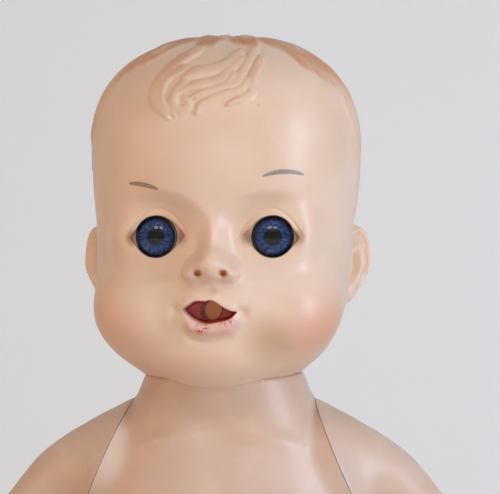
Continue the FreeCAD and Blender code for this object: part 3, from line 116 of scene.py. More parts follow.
def smooth_line(points, steps=8, closed=False):
    """A Catmull-Rom line through chosen points."""
    p = np.asarray(points, float)
    if closed:
        p = np.vstack([p[-1], p, p[0], p[1]])
    else:
        p = np.vstack([2 * p[0] - p[1], p, 2 * p[-1] - p[-2]])
    out = []
    for a, b, c, d in zip(p, p[1:], p[2:], p[3:]):
        for t in np.arange(steps) / steps:
            out.append(
                0.5
                * (
                    2 * b
                    + (c - a) * t
                    + (2 * a - 5 * b + 4 * c - d) * t**2
                    + (3 * b - a - 3 * c + d) * t**3
                )
            )
    if not closed:
        out.append(p[-2])
    return np.array(out)


def nearest_on(line, px, pz, closed=False):
    """Distance from each point to a line in a plane, and how far along the line it is (0 to 1)."""
    ends = np.roll(line, -1, axis=0) if closed else line[1:]
    starts = line if closed else line[:-1]
    best = np.full(px.shape, 1e9)
    along = np.zeros(px.shape)
    count = len(starts)
    for i, (a, b) in enumerate(zip(starts, ends)):
        run = b - a
        t = ((px - a[0]) * run[0] + (pz - a[1]) * run[1]) / max(run @ run, 1e-12)
        t = np.clip(t, 0, 1)
        d = np.hypot(px - a[0] - t * run[0], pz - a[1] - t * run[1])
        nearer = d < best
        best = np.where(nearer, d, best)
        along = np.where(nearer, (i + t) / count, along)
    return best, along


def inside_of(line, px, pz):
    """True where a point lies inside a closed line."""
    inside = np.zeros(px.shape, bool)
    for a, b in zip(line, np.roll(line, -1, axis=0)):
        crosses = (a[1] > pz) != (b[1] > pz)
        x = (b[0] - a[0]) * (pz - a[1]) / (b[1] - a[1] + 1e-12) + a[0]
        inside ^= crosses & (px < x)
    return inside


# ---------------------------------------------------------------- mesh helpers


def link(obj):
    """Puts an object in the scene."""
    bpy.context.scene.collection.objects.link(obj)
    return obj


def mesh_from(name, points, faces):
    """A mesh from points in millimetres."""
    mesh = bpy.data.meshes.new(name)
    mesh.from_pydata([tuple(p) for p in np.asarray(points) * MM], [], faces)
    mesh.validate()
    return mesh


def points_of(mesh):
    """The points of a mesh in millimetres."""
    out = np.empty(len(mesh.vertices) * 3)
    mesh.vertices.foreach_get("co", out)
    return out.reshape(-1, 3) / MM


def set_points(mesh, points):
    """Moves the points of a mesh."""
    mesh.vertices.foreach_set("co", (np.asarray(points) * MM).ravel())
    mesh.update()


def normals_of(mesh):
    """The normals at the points of a mesh."""
    out = np.empty(len(mesh.vertices) * 3)
    mesh.vertices.foreach_get("normal", out)
    return out.reshape(-1, 3)


@contextmanager
def editing(mesh):
    """Opens a mesh for edits, and writes them back."""
    bm = bmesh.new()
    bm.from_mesh(mesh)
    yield bm
    bm.to_mesh(mesh)
    bm.free()


def edges_of(mesh):
    """The point pairs of a mesh's edges."""
    out = np.empty(len(mesh.edges) * 2, dtype=np.int64)
    mesh.edges.foreach_get("vertices", out)
    return out.reshape(-1, 2)


def relax(mesh, rounds, weight=0.5, keep=None):
    """Smooths a mesh by pulling each point to the middle of its neighbours."""
    p = points_of(mesh)
    e = edges_of(mesh)
    count = np.bincount(e.ravel(), minlength=len(p))[:, None]
    share = weight if keep is None else weight * keep[:, None]
    for i in range(rounds):
        pull = 1.0 if i % 2 == 0 else -1.05
        total = np.zeros_like(p)
        np.add.at(total, e[:, 0], p[e[:, 1]])
        np.add.at(total, e[:, 1], p[e[:, 0]])
        p = p + (total / np.maximum(count, 1) - p) * share * pull
    set_points(mesh, p)


def stack_faces(rows, around):
    """The faces of a closed stack of rings, whose two end points come last."""
    faces, first = [], rows * around
    for i in range(rows - 1):
        for j in range(around):
            k = (j + 1) % around
            faces.append((i * around + j, i * around + k, (i + 1) * around + k, (i + 1) * around + j))
    for j in range(around):
        k = (j + 1) % around
        faces.append((first, k, j))
        faces.append((first + 1, (rows - 1) * around + j, (rows - 1) * around + k))
    return faces


def tube_rings(centres, normals, wides, half_wide, half_thick, around=48):
    """A closed tube of elliptical rings, with rounded ends."""
    angles = np.arange(around) * 2 * math.pi / around
    points = []
    for c, n, w, a, b in zip(centres, normals, wides, half_wide, half_thick):
        w = w - n * (w @ n)
        w = w / np.linalg.norm(w)
        t = np.cross(n, w)
        for angle in angles:
            points.append(c + w * (a * math.cos(angle)) + t * (b * math.sin(angle)))
    points += [np.asarray(centres[0]), np.asarray(centres[-1])]
    return np.array(points), stack_faces(len(centres), around)


def ball(centre, radii, turn=None, levels=4):
    """A stretched ball made of even quads."""
    bm = bmesh.new()
    bmesh.ops.create_cube(bm, size=2)
    bmesh.ops.subdivide_edges(bm, edges=bm.edges, cuts=2**levels - 1, use_grid_fill=True)
    p = np.array([v.co.normalized() for v in bm.verts])
    faces = [[v.index for v in f.verts] for f in bm.faces]
    bm.free()
    p = p * np.asarray(radii, float)
    if turn is not None:
        p = p @ np.array(turn).T
    return p + np.asarray(centre, float), faces


def capsule(start, end, r0, r1, around=20):
    """A round-ended rod."""
    start, end = np.asarray(start, float), np.asarray(end, float)
    run = end - start
    length = np.linalg.norm(run)
    n = run / length
    wide = np.cross(n, [0.0, 0.0, 1.0])
    if np.linalg.norm(wide) < 0.1:
        wide = np.cross(n, [0.0, 1.0, 0.0])
    centres, radii = [], []
    for a in np.linspace(-85, 0, 7):
        centres.append(start + n * (r0 * math.sin(math.radians(a))))
        radii.append(r0 * math.cos(math.radians(a)))
    for a in np.linspace(0, 85, 7):
        centres.append(end + n * (r1 * math.sin(math.radians(a))))
        radii.append(r1 * math.cos(math.radians(a)))
    return tube_rings(
        centres, [n] * len(centres), [wide] * len(centres), radii, radii, around
    )


def put_together(name, forms):
    """An object made of several closed forms."""
    points, faces, start = [], [], 0
    for p, f in forms:
        points.append(p)
        faces.extend([[i + start for i in face] for face in f])
        start += len(p)
    mesh = mesh_from(name, np.vstack(points), faces)
    with editing(mesh) as bm:
        bmesh.ops.recalc_face_normals(bm, faces=bm.faces)
    return link(bpy.data.objects.new(name, mesh))


def fused(name, forms, voxel, rounds=4):
    """One closed skin round several closed forms."""
    obj = put_together(name, forms)
    skin = obj.modifiers.new("skin", "REMESH")
    skin.mode = "VOXEL"
    skin.voxel_size = voxel * MM
    skin.adaptivity = 0
    bake_modifiers(obj)
    relax(obj.data, rounds)
    return obj


def bake_modifiers(obj):
    """Replaces an object's mesh by the one that its modifiers give."""
    graph = bpy.context.evaluated_depsgraph_get()
    graph.update()
    baked = bpy.data.meshes.new_from_object(obj.evaluated_get(graph))
    obj.modifiers.clear()
    obj.data = baked


def cut_away(obj, name, forms):
    """Cuts closed forms out of an object."""
    cutter = put_together(name, forms)
    cut = obj.modifiers.new("cut", "BOOLEAN")
    cut.operation = "DIFFERENCE"
    cut.object = cutter
    cut.solver = "EXACT"
    bake_modifiers(obj)
    bpy.data.objects.remove(cutter)


def divide_where(mesh, wanted):
    """Divides the faces whose points are all wanted into four."""
    with editing(mesh) as bm:
        chosen = [f for f in bm.faces if all(wanted[v.index] for v in f.verts)]
        edges = {e for f in chosen for e in f.edges}
        bmesh.ops.subdivide_edges(bm, edges=list(edges), cuts=1, use_grid_fill=True)


def dress(obj, material):
    """Gives an object one material."""
    obj.data.materials.clear()
    obj.data.materials.append(material)


def finish_piece(obj, body, material, slot, *replaced):
    """Gives a new piece its body and its material, and hides the CAD nodes that it stands for."""
    dress(obj, material)
    obj.data.shade_smooth()
    obj.data.set_sharp_from_angle(angle=math.radians(48))
    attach(obj, body)
    if replaced:
        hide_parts(*replaced)
    return obj


# ---------------------------------------------------------------- head form

HEAD_MIDDLE = np.array([0.0, 0.0, FOOT + 58.0])
TEMPLE = FOOT + 83.2
SCALP = CROWN - 1.6
DOME = SCALP - TEMPLE

side_of = curve_through(
    [FOOT, FOOT + 3.3, FOOT + 7, FOOT + 11, FOOT + 15, FOOT + 19, FOOT + 26, FOOT + 36, FOOT + 46,
     FOOT + 56, FOOT + 68, TEMPLE],
    [30.4, 34.4, 38.2, 41.0, 43.0, 44.6, 46.4, 47.5, 47.8, 48.2, 49.4, 50.0],
)
front_of = curve_through(
    [FOOT, FOOT + 4, FOOT + 12, FOOT + 22, FOOT + 34, FOOT + 44, FOOT + 52, FOOT + 62, FOOT + 72,
     TEMPLE],
    [34.0, 39.5, 43.5, 46.0, 47.0, 47.4, 48.6, 51.6, 54.0, 55.2],
)
back_of = curve_through(
    [FOOT, FOOT + 6, FOOT + 16, FOOT + 28, FOOT + 42, FOOT + 58, FOOT + 72, TEMPLE],
    [25.5, 29.0, 35.5, 44.5, 53.0, 58.5, 60.0, 60.0],
)


def ball_field(p, centre, radii):
    """About the distance to a stretched ball, negative inside."""
    q = (p - np.asarray(centre, float)) / np.asarray(radii, float)
    k0 = np.linalg.norm(q, axis=1)
    k1 = np.linalg.norm(q / np.asarray(radii, float), axis=1)
    return k0 * (k0 - 1.0) / np.maximum(k1, 1e-9)


def skull_field(p):
    """The skull and jaw, from their outlines at each level."""
    x, y, z = p[:, 0], p[:, 1], p[:, 2]
    up = np.clip((z - TEMPLE) / DOME, 0, 0.9999)
    closing = (1 - up**2.3) ** (1 / 2.3)
    half = side_of(np.minimum(z, TEMPLE)) * closing
    deep = np.where(
        y < 0,
        front_of(np.minimum(z, TEMPLE)) * (1 - up**2.1) ** (1 / 2.1),
        back_of(np.minimum(z, TEMPLE)) * (1 - up**2.2) ** (1 / 2.2),
    )
    round_off = 2.25
    level = ((np.abs(x) / half) ** round_off + (np.abs(y) / deep) ** round_off) ** (1 / round_off)
    field = (level - 1) * np.minimum(half, deep)
    field = np.where(z > SCALP, np.maximum(field, z - SCALP), field)
    return np.maximum(field, FOOT - z)


def head_field(p):
    """The head without its ears and fine relief."""
    f = skull_field(p)
    for side in (-1, 1):
        f = blend_min(f, ball_field(p, (side * 23.5, -28.0, FOOT + 24.0), (20.0, 20.4, 17.0)), 12.0)
    f = blend_min(f, ball_field(p, (0, -36.0, FOOT + 10.5), (19.0, 13.4, 12.4)), 9.0)
    f = blend_min(f, ball_field(p, (0, -38.0, FOOT + 28.5), (18.0, 15.0, 14.5)), 8.0)
    f = blend_min(f, ball_field(p, (0, -46.5, FOOT + 46.0), (5.4, 8.0, 10.0)), 6.0)
    f = blend_min(f, ball_field(p, (0, -53.4, FOOT + 40.8), (6.3, 7.6, 5.8)), 3.0)
    for side in (-1, 1):
        f = blend_min(f, ball_field(p, (side * 6.6, -51.8, FOOT + 38.8), (3.9, 5.6, 4.2)), 2.4)
    return f


def project(points, field, low=20.0, high=80.0):
    """Moves each point along its ray from the head's middle until it lies on a form."""
    rays = points - HEAD_MIDDLE
    rays = rays / np.linalg.norm(rays, axis=1)[:, None]
    reach = np.full(len(points), high)
    found = np.zeros(len(points), bool)
    for step in np.arange(high, low, -1.5):
        inside = field(HEAD_MIDDLE + rays * step) < 0
        new = inside & ~found
        reach[new] = step
        found |= inside
    near, far = reach.copy(), reach + 1.5
    for _ in range(14):
        half = (near + far) / 2
        inside = field(HEAD_MIDDLE + rays * half[:, None]) < 0
        near = np.where(inside, half, near)
        far = np.where(inside, far, half)
    return HEAD_MIDDLE + rays * near[:, None]


def ear_axes(side):
    """Middle of an ear, its outward direction, and its own up and back directions."""
    middle = np.array([side * 48.6, 5.5, FOOT + 39.6])
    outwards = np.array([side * 0.80, -0.60, 0.0])
    back = np.array([side * 0.60, 0.80, 0.0])
    lean = math.radians(7)
    up = np.array([0.0, 0.0, 1.0])
    tall = up * math.cos(lean) + back * math.sin(lean)
    wide = back * math.cos(lean) - up * math.sin(lean)
    return middle, outwards, tall, wide


def ear_form(side):
    """A thick rounded ear, wider at its top, which leans in towards its lobe."""
    middle, outwards, tall, wide = ear_axes(side)
    around = 64
    points = []
    angles = np.arange(around) * 2 * math.pi / around
    # share of the outline, and how far that ring stands out along the ear's face
    rings = [(0.55, -4.5), (0.82, -3.6), (0.96, -1.6), (1.0, 0.2), (0.95, 1.6), (0.8, 2.2), (0.4, 2.3)]
    for share, out in rings:
        for angle in angles:
            c, s = math.cos(angle), math.sin(angle)
            half_wide = 8.8 if s > 0 else 8.8 - 3.4 * (-s) ** 1.5
            spot = middle + wide * (half_wide * share * c) + tall * (15.4 * share * s)
            spot = spot + outwards * out
            spot[0] -= side * max(0.0, -s) * share * 2.6
            points.append(spot)
    points += [middle - outwards * 5.0, middle + outwards * 2.3]
    return np.array(points), stack_faces(len(rings), around)


def ear_relief(p, normals):
    """The rim, the inner ridge, the bowl and the lobe of both ears."""
    p = p.copy()
    for side in (-1, 1):
        middle, outwards, tall, wide = ear_axes(side)
        q = p - middle
        u, v = q @ wide, q @ tall
        faces_out = ramp(0.1, 0.5, normals @ outwards) * ramp(-2.0, 0.0, q @ outwards)
        half = np.where(v > 0, 8.8, 8.8 - 3.4 * (np.clip(-v / 15.4, 0, 1)) ** 1.5)
        share = np.hypot(u / half, v / 15.4)
        angle = np.arctan2(v, u)
        on_top = ramp(-0.9, 0.1, v / 15.4)
        rise = 0.9 * bell(share - 0.9, 0.10) * on_top
        rise -= 1.3 * bell(share - 0.70, 0.10) * on_top * ramp(-1.9, -0.6, np.cos(angle) * 2)
        rise += 0.7 * bell(share - 0.50, 0.11) * ramp(0.15, 0.45, v / 15.4 + 0.25)
        bowl = np.hypot((u + 1.2) / 3.6, (v + 1.0) / 6.4)
        rise -= 3.2 * ramp(1.15, 0.45, bowl)
        notch = np.hypot((u + 3.4) / 1.9, (v + 6.6) / 2.6)
        rise -= 1.5 * bell(notch, 1.0)
        flap = np.hypot((u + 5.6) / 1.7, (v + 1.6) / 2.8)
        rise += 1.3 * bell(flap, 1.0)
        lobe = np.hypot(u / 3.6, (v + 11.2) / 2.9)
        rise += 0.7 * bell(lobe, 1.0)
        p = p + outwards * (rise * faces_out)[:, None]
    return p


def ear_share(p):
    """1 on an ear and 0 well away from it."""
    share = np.zeros(len(p))
    for side in (-1, 1):
        d = ball_field(p, (side * 52.0, 6.0, FOOT + 39.6), (7.0, 12.0, 18.0))
        share = np.maximum(share, 1 - ramp(0.0, 3.0, d))
    return share


# ---------------------------------------------------------------- face relief

# the opening of the mouth, from its middle: across (to the doll's left) and up
MOUTH_LINE = smooth_line(
    [(-9.6, 0.9), (-7.8, 2.3), (-6.2, 3.4), (-4.5, 3.9), (-2.8, 3.8), (-1.4, 3.75), (0.1, 4.1),
     (1.7, 3.7), (3.4, 2.6), (5.4, 1.3), (7.2, 0.45), (9.4, 0.0), (8.6, -1.1), (7.2, -2.35),
     (5.2, -3.1), (2.1, -3.8), (-1.2, -4.3), (-4.4, -3.5), (-7.0, -2.0), (-8.8, -0.4)],
    steps=6,
    closed=True,
)
MOUTH_X = -0.5
SPOUT_X, SPOUT_Z = 0.0, 0.2


def eye_distances(x, z, side):
    """Across and up from an eye's middle, and the distance from it, seen from the front."""
    across = (x - side * EYE_X) * side
    up = z - EYE_Z
    return across, up, np.hypot(across, up)


def face_relief(p):
    """Adds lids, nostrils, lips and the mouth to the front of the head."""
    p = p.copy()
    x, z = p[:, 0].copy(), p[:, 2].copy()
    front = ramp(-18.0, -28.0, p[:, 1])
    mouth_x, mouth_up = x - MOUTH_X, z - MOUTH_Z

    for side in (-1, 1):
        across, up, r = eye_distances(x, z, side)
        plane = EYE_Y + across * math.sin(EYE_TURN)
        lid = plane - 1.9 - 0.4 * bell(up - 7.5, 3.0) * bell(across, 8.0)
        calm = ramp(17.0, 8.5, np.hypot(across / 1.25, up)) * front
        p[:, 1] = p[:, 1] * (1 - calm) + lid * calm
        almond = 7.5 * (1 - (np.abs(across + 0.5) / 9.9) ** 2.1) - np.abs(up + 0.04 * across)
        recess = ramp(0.0, 0.9, almond) * front
        p[:, 1] += recess * 1.75
        fold = bell(almond + 2.2, 0.7) * ramp(-4.0, 3.0, up) * ramp(15.0, 9.0, r) * front
        p[:, 1] += fold * 0.35
        well = ramp(7.5, 7.15, r) * front
        p[:, 1] = p[:, 1] * (1 - well) + (plane + 0.75) * well

    for side in (-1, 1):
        nostril = bell(np.hypot((x - side * 4.25) / 1.15, (z - FOOT - 37.6) / 0.95), 1.0)
        p[:, 1] += nostril * 2.6 * front
        wing = bell(np.hypot(x - side * 9.6, (z - FOOT - 39.0) / 2.4), 1.0)
        p[:, 1] += wing * 0.5 * front
    groove = bell(x, 1.6) * ramp(4.5, 6.5, mouth_up) * ramp(9.5, 7.5, mouth_up)
    p[:, 1] += groove * 0.45 * front

    edge, _ = nearest_on(MOUTH_LINE, mouth_x, mouth_up, closed=True)
    inside = inside_of(MOUTH_LINE, mouth_x, mouth_up)
    depth = np.where(inside, edge, -edge)
    near = ramp(16.0, 12.0, np.hypot(mouth_x, mouth_up)) * front
    above = ramp(-1.5, 1.5, mouth_up)
    upper = bell(depth + 0.9, 1.5) * above * ramp(10.5, 8.0, np.abs(mouth_x))
    p[:, 1] -= upper * 0.75 * near
    lower = bell(depth + 2.5, 2.1) * (1 - above) * ramp(10.5, 6.5, np.abs(mouth_x))
    p[:, 1] -= lower * 1.9 * near
    crease = bell(depth + 6.2, 1.3) * (1 - above) * ramp(9.5, 6.0, np.abs(mouth_x))
    p[:, 1] += crease * 0.9 * near
    for side in (-1, 1):
        dimple = bell(np.hypot((mouth_x - side * 10.9) / 1.7, (mouth_up - 0.1) / 2.0), 1.0)
        p[:, 1] += dimple * 1.3 * near
        cheek_line = bell(np.abs(mouth_x) - 13.2 - 0.05 * mouth_up**2, 1.8) * bell(mouth_up, 8.0)
        p[:, 1] += cheek_line * 0.25 * near
    pocket = ramp(-0.1, 0.9, depth) * front
    floor = CUP_LOW[1] + 3.6
    p[:, 1] = p[:, 1] * (1 - pocket) + floor * pocket
    spout = ramp(3.75, 3.45, np.hypot(mouth_x - SPOUT_X, mouth_up - SPOUT_Z)) * front
    spout = np.where(inside, spout, 0.0)
    p[:, 1] = p[:, 1] * (1 - spout) + (floor + 4.0) * spout
    return p


# ---------------------------------------------------------------- hair relief

# locks over the forehead: points across and above the neck opening, half width, height
FRONT_LOCKS = [
    ([(-8, 117), (-15.3, 111.1), (-20.3, 104.4), (-21.3, 98.8), (-19.2, 94.9), (-16, 91.2)], 1.7, 0.9),
    ([(-12, 109), (-17.0, 106), (-18.9, 102.6), (-18.9, 98.2), (-17.1, 94.2), (-13.7, 92.1)], 1.4, 0.8),
    ([(-10.8, 103.5), (-13.7, 99.8), (-14.3, 96.7), (-12.9, 94), (-9.7, 93.8), (-8.6, 96.2),
      (-10.6, 98.3)], 1.4, 0.9),
    ([(8, 112), (4.3, 107.9), (1.9, 104.8), (-1.9, 103.4), (-7.6, 102.3), (-11.5, 100.5)], 1.5, 0.9),
    ([(7, 115), (2.6, 110.1), (-2.3, 108.3), (-7.6, 107.6), (-12.0, 105.0)], 1.7, 0.9),
    ([(6, 106), (3.7, 102.6), (-0.9, 100.5), (-4.8, 99.1), (-8.0, 98.0)], 1.3, 0.9),
    ([(11, 104), (8.3, 100.5), (1.6, 98.8), (-4.1, 95.2), (-5.8, 92.6)], 1.3, 0.9),
    ([(12, 116), (10.4, 111.1), (9.3, 108.3), (7.2, 103.3), (4.8, 101.6)], 1.4, 0.9),
    ([(15, 113), (12.7, 106.2), (12.2, 102.6), (12.7, 99.8), (9.3, 97.4), (4.8, 95.6)], 1.3, 0.9),
]


def hair_relief(p):
    """Height of the moulded hair above the scalp, and how much of a lock each point is."""
    x, y, z = p[:, 0], p[:, 1], p[:, 2]
    up = z - FOOT
    turn = np.arctan2(x, -(y - 8.0))
    lean = np.hypot(x, y - 8.0)
    locks = np.sin(turn * 15 + 1.8 * np.sin(turn * 3 + 0.5) + up * 0.055 + 0.6 * np.sin(up * 0.11))
    strands = np.sin(turn * 52 + 2.2 * np.sin(turn * 7 + up * 0.05) + up * 0.10)
    fine = np.sin(turn * 97 + 1.5 * np.sin(up * 0.14 + turn * 5))
    # the hairline: high over the forehead, low behind the ears
    open_face = np.abs(turn)
    line = curve_through(
        [0.0, 0.45, 0.75, 1.05, 1.35, 1.60, 2.0, 2.6, 3.15],
        [119.5, 118.0, 108.0, 90.0, 66.0, 50.0, 30.0, 21.0, 19.0],
    )(open_face)
    line = line + 2.2 * np.sin(turn * 15 + 0.8) + 0.8 * np.sin(turn * 37)
    cap = ramp(-1.2, 1.6, up - line)
    close = ramp(4.0, 12.0, lean)
    height = cap * (0.75 + 0.34 * locks + 0.20 * strands + 0.07 * fine) * (0.35 + 0.65 * close)
    front = ramp(-8.0, -20.0, y)
    best = np.zeros(len(p))
    for path, half, tall in FRONT_LOCKS:
        line2 = smooth_line(path, steps=6)
        near = (np.abs(x) < 32) & (up > 88) & (y < 5)
        d = np.full(len(p), 99.0)
        t = np.zeros(len(p))
        d[near], t[near] = nearest_on(line2, x[near], up[near])
        taper = half * (0.45 + 0.55 * ramp(1.0, 0.75, t))
        rise = 0.75 * tall * np.sqrt(np.clip(1 - (d / (taper * 1.3)) ** 2, 0, 1))
        best = np.maximum(best, rise * front)
    height = np.maximum(height, best + 0.25 * (best > 0))
    return height, np.maximum(cap, np.clip(best, 0, 1))


# ---------------------------------------------------------------- head


def make_head(material):
    """The soft vinyl head: form, ears, face and hair."""
    skull, faces = ball((0, 0, 0), (1, 1, 1), levels=6)
    skull = project(HEAD_MIDDLE + skull * 60.0, head_field)
    obj = fused("head_skin", [(skull, faces), ear_form(-1), ear_form(1)], 1.15, rounds=6)
    for zone in (
        lambda p: (p[:, 1] < -24) & (np.abs(p[:, 0]) < 36) & (p[:, 2] > FOOT),
        lambda p: ear_share(p) > 0.5,
        lambda p: (p[:, 1] < -30)
        & (
            (np.hypot(np.abs(p[:, 0]) - EYE_X, p[:, 2] - EYE_Z) < 12.5)
            | (np.hypot(p[:, 0] / 1.3, p[:, 2] - MOUTH_Z) < 9.5)
        ),
    ):
        divide_where(obj.data, zone(points_of(obj.data)))
    p = points_of(obj.data)
    off_ear = (1 - ear_share(p))[:, None]
    p = p * (1 - off_ear) + project(p, head_field) * off_ear
    set_points(obj.data, p)
    normals = normals_of(obj.data)
    height, lock = hair_relief(p)
    height = height * off_ear[:, 0]
    p = ear_relief(face_relief(p), normals) + normals * height[:, None]
    p[:, 0] += HEAD_LEAN * (p[:, 2] - EYE_Z)
    set_points(obj.data, p)
    paint_on(obj.data, "hair", lock * off_ear[:, 0])
    paint_on(obj.data, "relief", np.clip(height / 1.4, 0, 1))
    finish_piece(obj, "head", material, "soft_vinyl", "head_shell")
    return obj


def paint_mouth(mesh):
    """Stores where the mouth's red lining and the hole in its middle are."""
    p = points_of(mesh)
    across, up = p[:, 0] - MOUTH_X, p[:, 2] - MOUTH_Z
    edge, _ = nearest_on(MOUTH_LINE, across, up, closed=True)
    inside = inside_of(MOUTH_LINE, across, up) & (p[:, 1] < -25)
    reach = np.hypot(across - SPOUT_X, up - SPOUT_Z)
    spout = inside & (p[:, 1] > -42.5)
    paint_on(mesh, "mouth", np.where(inside, ramp(0.05, 0.35, edge), 0.0))
    paint_on(mesh, "spout", np.where(spout, ramp(3.9, 3.5, reach), 0.0))


def paint_on(mesh, name, values):
    """Stores one number for each point of a mesh."""
    layer = mesh.attributes.new(name, "FLOAT", "POINT")
    layer.data.foreach_set("value", np.asarray(values, dtype=np.float32))


# ---------------------------------------------------------------- materials


def linear(hexcode):
    """A colour written as sRGB hex, as linear light."""
    parts = [int(hexcode[i : i + 2], 16) / 255 for i in (1, 3, 5)]
    return tuple(c / 12.92 if c <= 0.04045 else ((c + 0.055) / 1.055) ** 2.4 for c in parts) + (1.0,)


class Paint:
    """Builds one material's nodes.  Numbers and node outputs can be mixed freely."""

    def __init__(self, name, **settings):
        self.material = bpy.data.materials.new(name)
        self.material.use_nodes = True
        self.nodes = self.material.node_tree.nodes
        self.links = self.material.node_tree.links
        self.shader = self.nodes["Principled BSDF"]
        for socket, value in settings.items():
            self.shader.inputs[socket.replace("_", " ")].default_value = value
        spot = self.add("ShaderNodeTexCoord")
        self.place = spot.outputs["Object"]
        split = self.add("ShaderNodeSeparateXYZ")
        self.links.new(self.place, split.inputs[0])
        self.x, self.y, self.z = (self.math("DIVIDE", split.outputs[i], MM) for i in range(3))

    def add(self, kind):
        return self.nodes.new(kind)

    def feed(self, socket, value):
        if hasattr(value, "is_output"):
            self.links.new(value, socket)
        else:
            socket.default_value = value

    def math(self, kind, a, b=0.0, c=0.0):
        node = self.add("ShaderNodeMath")
        node.operation = kind
        for socket, value in zip(node.inputs, (a, b, c)):
            self.feed(socket, value)
        return node.outputs[0]

    def plus(self, a, b):
        return self.math("ADD", a, b)

    def minus(self, a, b):
        return self.math("SUBTRACT", a, b)

    def times(self, a, b):
        return self.math("MULTIPLY", a, b)

    def largest(self, *values):
        out = values[0]
        for value in values[1:]:
            out = self.math("MAXIMUM", out, value)
        return out

    def step(self, low, high, value):
        """A soft step that is 0 at low and 1 at high."""
        node = self.add("ShaderNodeMapRange")
        node.interpolation_type = "SMOOTHSTEP"
        flip = low > high
        self.feed(node.inputs["Value"], value)
        node.inputs["From Min"].default_value = min(low, high)
        node.inputs["From Max"].default_value = max(low, high)
        node.inputs["To Min"].default_value = 1.0 if flip else 0.0
        node.inputs["To Max"].default_value = 0.0 if flip else 1.0
        return node.outputs[0]

    def spot(self, centre, radii, soft=1.0):
        """1 in the middle of a stretched ball and 0 outside it."""
        total = 0.0
        for axis, c, r in zip((self.x, self.y, self.z), centre, radii):
            part = self.math("DIVIDE", self.minus(axis, c), r)
            total = self.math("MULTIPLY_ADD", part, part, total)
        return self.step(1.0, 1.0 - soft, self.math("SQRT", total))

    def noise(self, size_mm, detail=2.0, rough=0.5, stretch=(1, 1, 1)):
        """Even noise whose grains are about size_mm across."""
        mapping = self.add("ShaderNodeMapping")
        mapping.inputs["Scale"].default_value = stretch
        self.links.new(self.place, mapping.inputs["Vector"])
        node = self.add("ShaderNodeTexNoise")
        self.links.new(mapping.outputs[0], node.inputs["Vector"])
        node.inputs["Scale"].default_value = 1.0 / (size_mm * MM)
        node.inputs["Detail"].default_value = detail
        node.inputs["Roughness"].default_value = rough
        return node.outputs["Fac"]

    def stored(self, name):
        """A number that the mesh carries at each point."""
        node = self.add("ShaderNodeAttribute")
        node.attribute_name = name
        return node.outputs["Fac"]

    def mix(self, share, a, b):
        """A colour between two colours."""
        node = self.add("ShaderNodeMix")
        node.data_type = "RGBA"
        self.feed(node.inputs[0], share)
        for socket, value in ((node.inputs[6], a), (node.inputs[7], b)):
            self.feed(socket, linear(value) if isinstance(value, str) else value)
        return node.outputs[2]

    def stain(self, tone, colour, strength, centre, radii, soft=1.0):
        """A tone with a stain of another colour in a stretched ball."""
        return self.mix(self.times(self.spot(centre, radii, soft), strength), tone, colour)

    def colour(self, value):
        self.feed(
            self.shader.inputs["Base Color"], linear(value) if isinstance(value, str) else value
        )

    def rough(self, value):
        self.feed(self.shader.inputs["Roughness"], value)

    def bump(self, height, depth_mm):
        """Relief that is too fine for the mesh."""
        node = self.add("ShaderNodeBump")
        node.inputs["Distance"].default_value = depth_mm * MM
        self.feed(node.inputs["Height"], height)
        self.links.new(node.outputs[0], self.shader.inputs["Normal"])


SKIN = "#E5C6AC"


def skin_base(paint, base=SKIN, aged="#DFBC9C"):
    """Rotocast vinyl: slightly uneven with age, yellower in patches, with faint specks."""
    patch = paint.noise(38, 3.0)
    tone = paint.mix(paint.step(0.35, 0.7, patch), base, aged)
    fine = paint.noise(9, 3.0)
    tone = paint.mix(paint.times(paint.step(0.5, 0.8, fine), 0.25), tone, "#E9CDBA")
    return tone


def vinyl_bump(paint):
    """The satin grain that a cast mould leaves."""
    grain = paint.noise(0.55, 2.0)
    swell = paint.noise(6.0, 2.0)
    paint.bump(paint.plus(paint.times(grain, 0.35), swell), 0.09)


